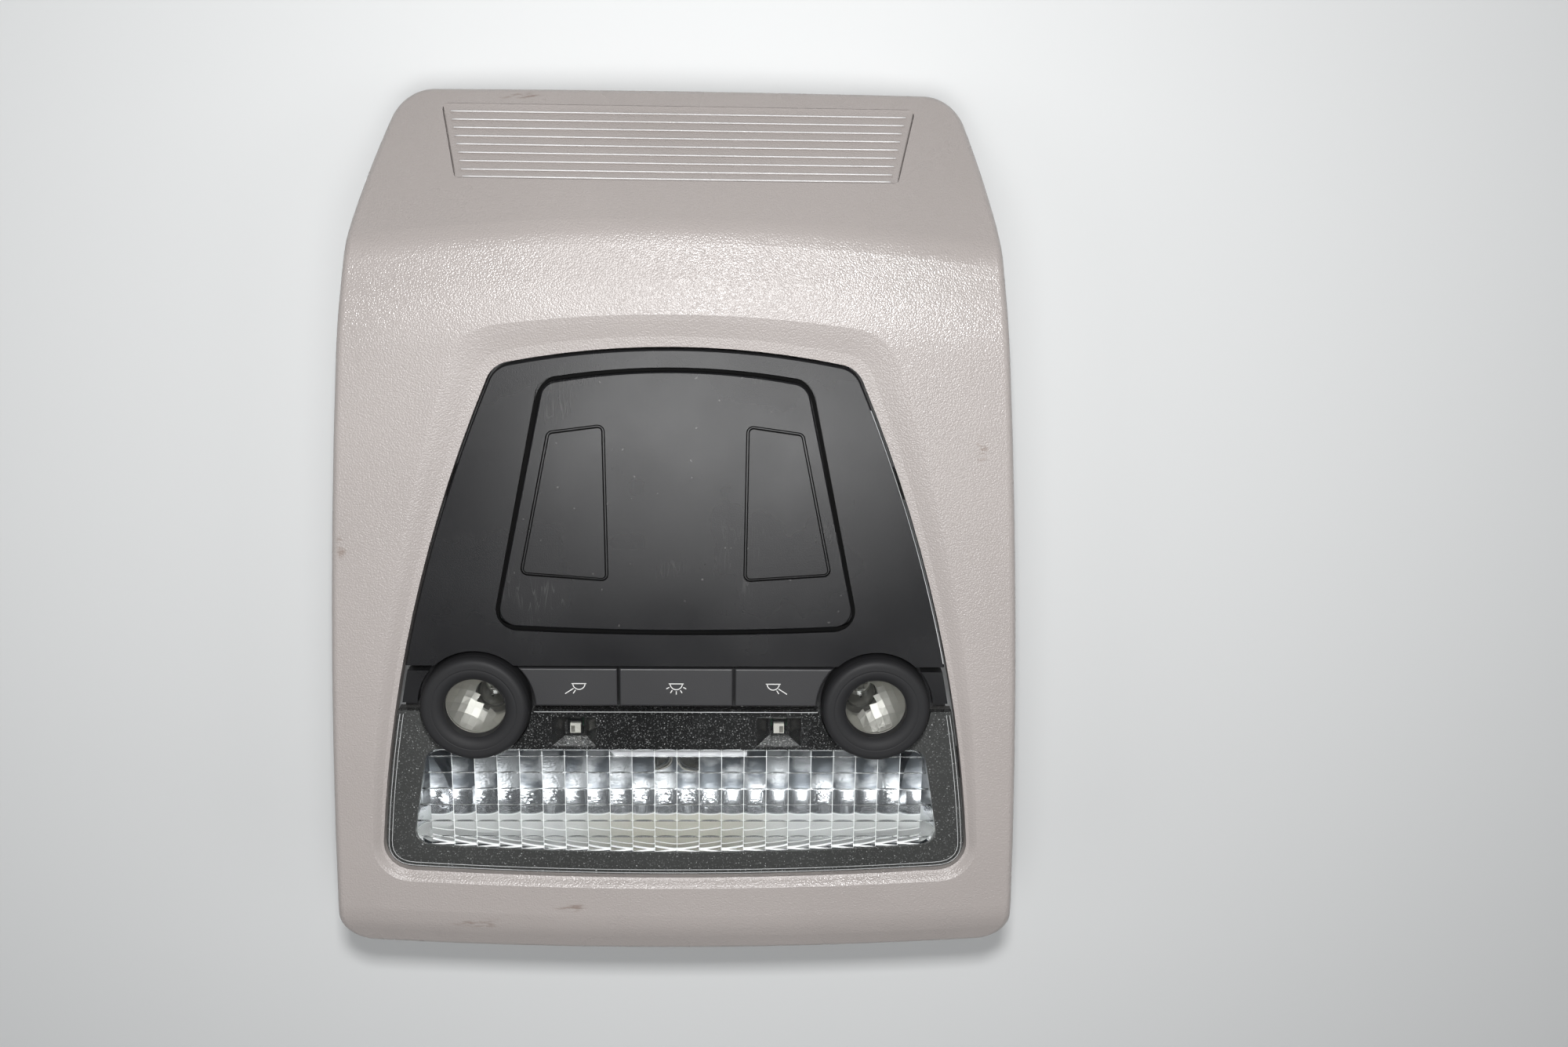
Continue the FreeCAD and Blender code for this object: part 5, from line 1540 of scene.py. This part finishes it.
@dataclass
class ReadingLight:
    """What shows at a reading light: the bowl's facets, a bulb, the disc's bright rim and the full ring."""

    palette: Palette
    side: Side
    x: float = 57.1
    y: float = -46.2
    face_z: float = 52.3
    bulb_in: float = 3.6
    bulb_tip: float = -9.1
    # Bowl of facets, with a hole for the bulb
    hole: float = 5.1
    hole_clear: float = 0.15
    hole_cut: float = 0.1
    rim: float = 9.3
    rim_gap: float = 0.1
    floor: float = -9.9
    cell: float = 2.05
    cells: int = 10
    cell_near: float = 0.55
    turn: float = 25.0
    rise: float = 5.6
    power: float = 2.6
    jitter: float = 0.05
    seed: int = 11
    least: float = 0.1
    # Rim of the disc
    disc_radius: float = 8.72
    disc_top: float = -1.5
    disc_bead: float = 0.12
    disc_steps: int = 9
    turns: int = 96
    # Shoulder of the ring: radius and height of its level face, of its edge and of its underside
    level: tuple[Pair, Pair] = ((11.62, 3.38), (12.4, 3.37))
    edge: Pair = (13.2, 0.45)
    edge_size: Pair = (2.2, 2.9)
    edge_power: float = 0.8
    edge_points: int = 14
    under: tuple[Pair, Pair] = ((15.0, 0.3), (11.62, 3.2))

    @property
    def place(self) -> np.ndarray:
        """Middle of the ring on the unit's face."""
        return np.array([self.side.value * self.x, self.y, self.face_z])

    def facets(self) -> Shape:
        """Dish of flat facets: a turned square grid lifted to floor + rise*(radius/rim)^power, each corner a
        little off by chance, with the corners near the bulb's hole drawn onto its edge.

        Returns:
            Points about the ring's middle, and quads.
        """
        steps = (np.arange(self.cells + 1) - self.cells / 2) * self.cell
        grid_x, grid_y = (axis.ravel() for axis in np.meshgrid(steps, steps))
        angle = math.radians(self.turn) * self.side.value
        x = grid_x * math.cos(angle) - grid_y * math.sin(angle)
        y = grid_x * math.sin(angle) + grid_y * math.cos(angle)
        far = np.hypot(x, y)
        pull = np.minimum(1.0, (self.rim - self.rim_gap) / np.maximum(far, self.least))
        x, y = x * pull, y * pull
        bulb_x = -self.side.value * self.bulb_in
        away = np.hypot(x - bulb_x, y)
        near = np.abs(away - self.hole) < self.cell_near * self.cell
        push = np.where(near, (self.hole + self.hole_clear) / np.maximum(away, self.least), 1.0)
        x, y = bulb_x + (x - bulb_x) * push, y * push
        share = np.minimum(1.0, np.hypot(x, y) / self.rim)
        chance = np.random.default_rng(self.seed).uniform(-self.jitter, self.jitter, len(x))
        points = np.stack([x, y, self.floor + self.rise * share**self.power + chance], axis=1)
        faces = grid_faces(self.cells + 1, self.cells + 1)
        middle = points[faces].mean(axis=1)
        inside = far[faces].min(axis=1) < self.rim
        clear = np.hypot(middle[:, 0] - bulb_x, middle[:, 1]) > self.hole - self.hole_cut
        return points, faces[inside & clear]

    def shoulder(self) -> Shape:
        """Full outer shoulder of the ring: a closed profile turned round the light.

        From the crest the face runs almost level, then rounds over as a superellipse quarter to the edge.

        Returns:
            The points and the quads.
        """
        angle = np.linspace(0.0, math.pi / 2, self.edge_points)
        curve = np.stack([np.sin(angle), np.cos(angle)], axis=1) ** self.edge_power
        profile = np.vstack([self.level, self.edge + curve * self.edge_size, self.under])[::-1]
        return turned_grid(np.vstack([profile, profile[:1]]), self.turns)

    def disc_rim(self) -> Shape:
        """Bead along the disc's edge: a small circle turned round the light.

        Returns:
            The points and the quads.
        """
        middle = self.disc_radius - self.disc_bead
        return turned_grid(bead_profile(middle, self.disc_top, self.disc_bead, self.disc_steps), self.turns)

    def placed(self, name: str, shape: Shape, finish: str, smooth: bool = True) -> Piece:
        """Make a piece from a shape about the ring's middle."""
        points, faces = shape
        return self.palette.piece(f"{name}_{self.side.word}", (points + self.place, faces), finish, smooth)

    def build(self) -> None:
        """Make the facets, the rim, the bulb and the shoulder."""
        dish = self.placed("reading_facets", self.facets(), "bright", smooth=False)
        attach(dish, "console")
        rim = self.placed("reading_rim", self.disc_rim(), "bright")
        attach(rim, "console")
        x = self.side.value * (self.x - self.bulb_in)
        tip_z = self.face_z + self.bulb_tip
        WedgeBulb(self.palette, f"reading_bulb_{self.side.word}", x, self.y, tip_z).build()
        ring = self.placed("bezel_shoulder", self.shoulder(), "black_ring")
        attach(ring, "console")


@dataclass(frozen=True)
class SoftLamp:
    """Square area light that looks at a point, hidden from the camera; in millimetres and watts."""

    name: str
    place: Triple
    size: float
    power: float
    aim: Triple = (0.0, 0.0, 0.0)

    def build(self) -> None:
        """Make the lamp."""
        data = bpy.data.lights.new(self.name, "AREA")
        data.size = self.size * MM
        data.energy = self.power
        lamp = bpy.data.objects.new(self.name, data)
        lamp.visible_camera = False
        bpy.context.scene.collection.objects.link(lamp)
        lamp.location = np.array(self.place) * MM
        away = np.array(self.place) - np.array(self.aim)
        away = away / np.linalg.norm(away)
        lamp.rotation_euler = (math.acos(away[2]), 0.0, math.atan2(away[0], -away[1]))


@dataclass
class Studio:
    """Pale floor, soft lights and the camera at the photo's view."""

    floor_half: float = 1600.0
    floor_z: float = -0.2
    floor_sheet: FloorSheet = FloorSheet("floor_white", (0.79, 0.80, 0.80), (0.81, 0.82, 0.82))
    # Flash above the camera, a broad soft light at each side and a soft one in front
    lamps: tuple[SoftLamp, ...] = (
        SoftLamp("flash", (16.0, 205.0, 500.0), 45.0, 1.85, (0.0, 0.0, 50.0)),
        SoftLamp("soft_left", (-1100.0, -150.0, 950.0), 800.0, 1.8),
        SoftLamp("soft_right", (1100.0, -150.0, 950.0), 800.0, 1.8),
        SoftLamp("soft_front", (8.0, -14.0, 560.0), 220.0, 0.86, (8.0, -10.0, 0.0)),
    )
    surround_colour: Colour = (0.93, 0.96, 1.0)
    surround_strength: float = 0.09
    camera_place: Triple = (16.17, 115.57, 472.18)
    camera_turn: Triple = (-14.379, -1.672, 0.8335)
    lens: float = 35.84
    sensor: float = 36.0
    nearest: float = 10.0

    def floor(self) -> None:
        """Flat sheet just below the part."""
        corners = np.array([[-1, -1], [1, -1], [1, 1], [-1, 1]]) * self.floor_half
        points = np.hstack([corners, np.full((4, 1), self.floor_z)])
        piece = solid_mesh("floor", points, np.array([[0, 1, 2, 3]]), smooth=False)
        piece.data.materials.append(self.floor_sheet.build())

    def surround(self) -> None:
        """Faint even light from all round."""
        world = bpy.data.worlds.new("surround")
        bpy.context.scene.world = world
        world.use_nodes = True
        back = world.node_tree.nodes["Background"]
        back.inputs["Color"].default_value = (*self.surround_colour, 1.0)
        back.inputs["Strength"].default_value = self.surround_strength

    def camera(self) -> None:
        """Camera fitted to the photo's landmarks."""
        data = bpy.data.cameras.new("camera")
        data.lens = self.lens
        data.sensor_width = self.sensor
        data.clip_start = self.nearest * MM
        eye = bpy.data.objects.new("camera", data)
        bpy.context.scene.collection.objects.link(eye)
        eye.location = [c * MM for c in self.camera_place]
        eye.rotation_euler = [math.radians(a) for a in self.camera_turn]
        bpy.context.scene.camera = eye
        bpy.context.scene.view_settings.view_transform = "Standard"

    def build(self) -> None:
        """Set up the whole studio."""
        self.floor()
        for lamp in self.lamps:
            lamp.build()
        self.surround()
        self.camera()


def main() -> None:
    """Load the frame, dress the solids, add the new pieces and set up the studio."""
    logging.basicConfig(level=logging.INFO, format="%(message)s")
    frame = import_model()
    palette = Palette(FINISHES)
    SolidDress(palette).dress(frame)
    KeyRow(palette).build()
    for side in Side:
        ReadingLight(palette, side).build()
    WedgeBulb(palette, "main_bulb", *MAIN_BULB).build()
    LensEdges(palette).build()
    GrooveShadows(palette).build()
    Louvre(palette).build()
    for side in Side:
        Funnel(palette, side).build()
    Studio().build()


if __name__ == "__main__":
    main()
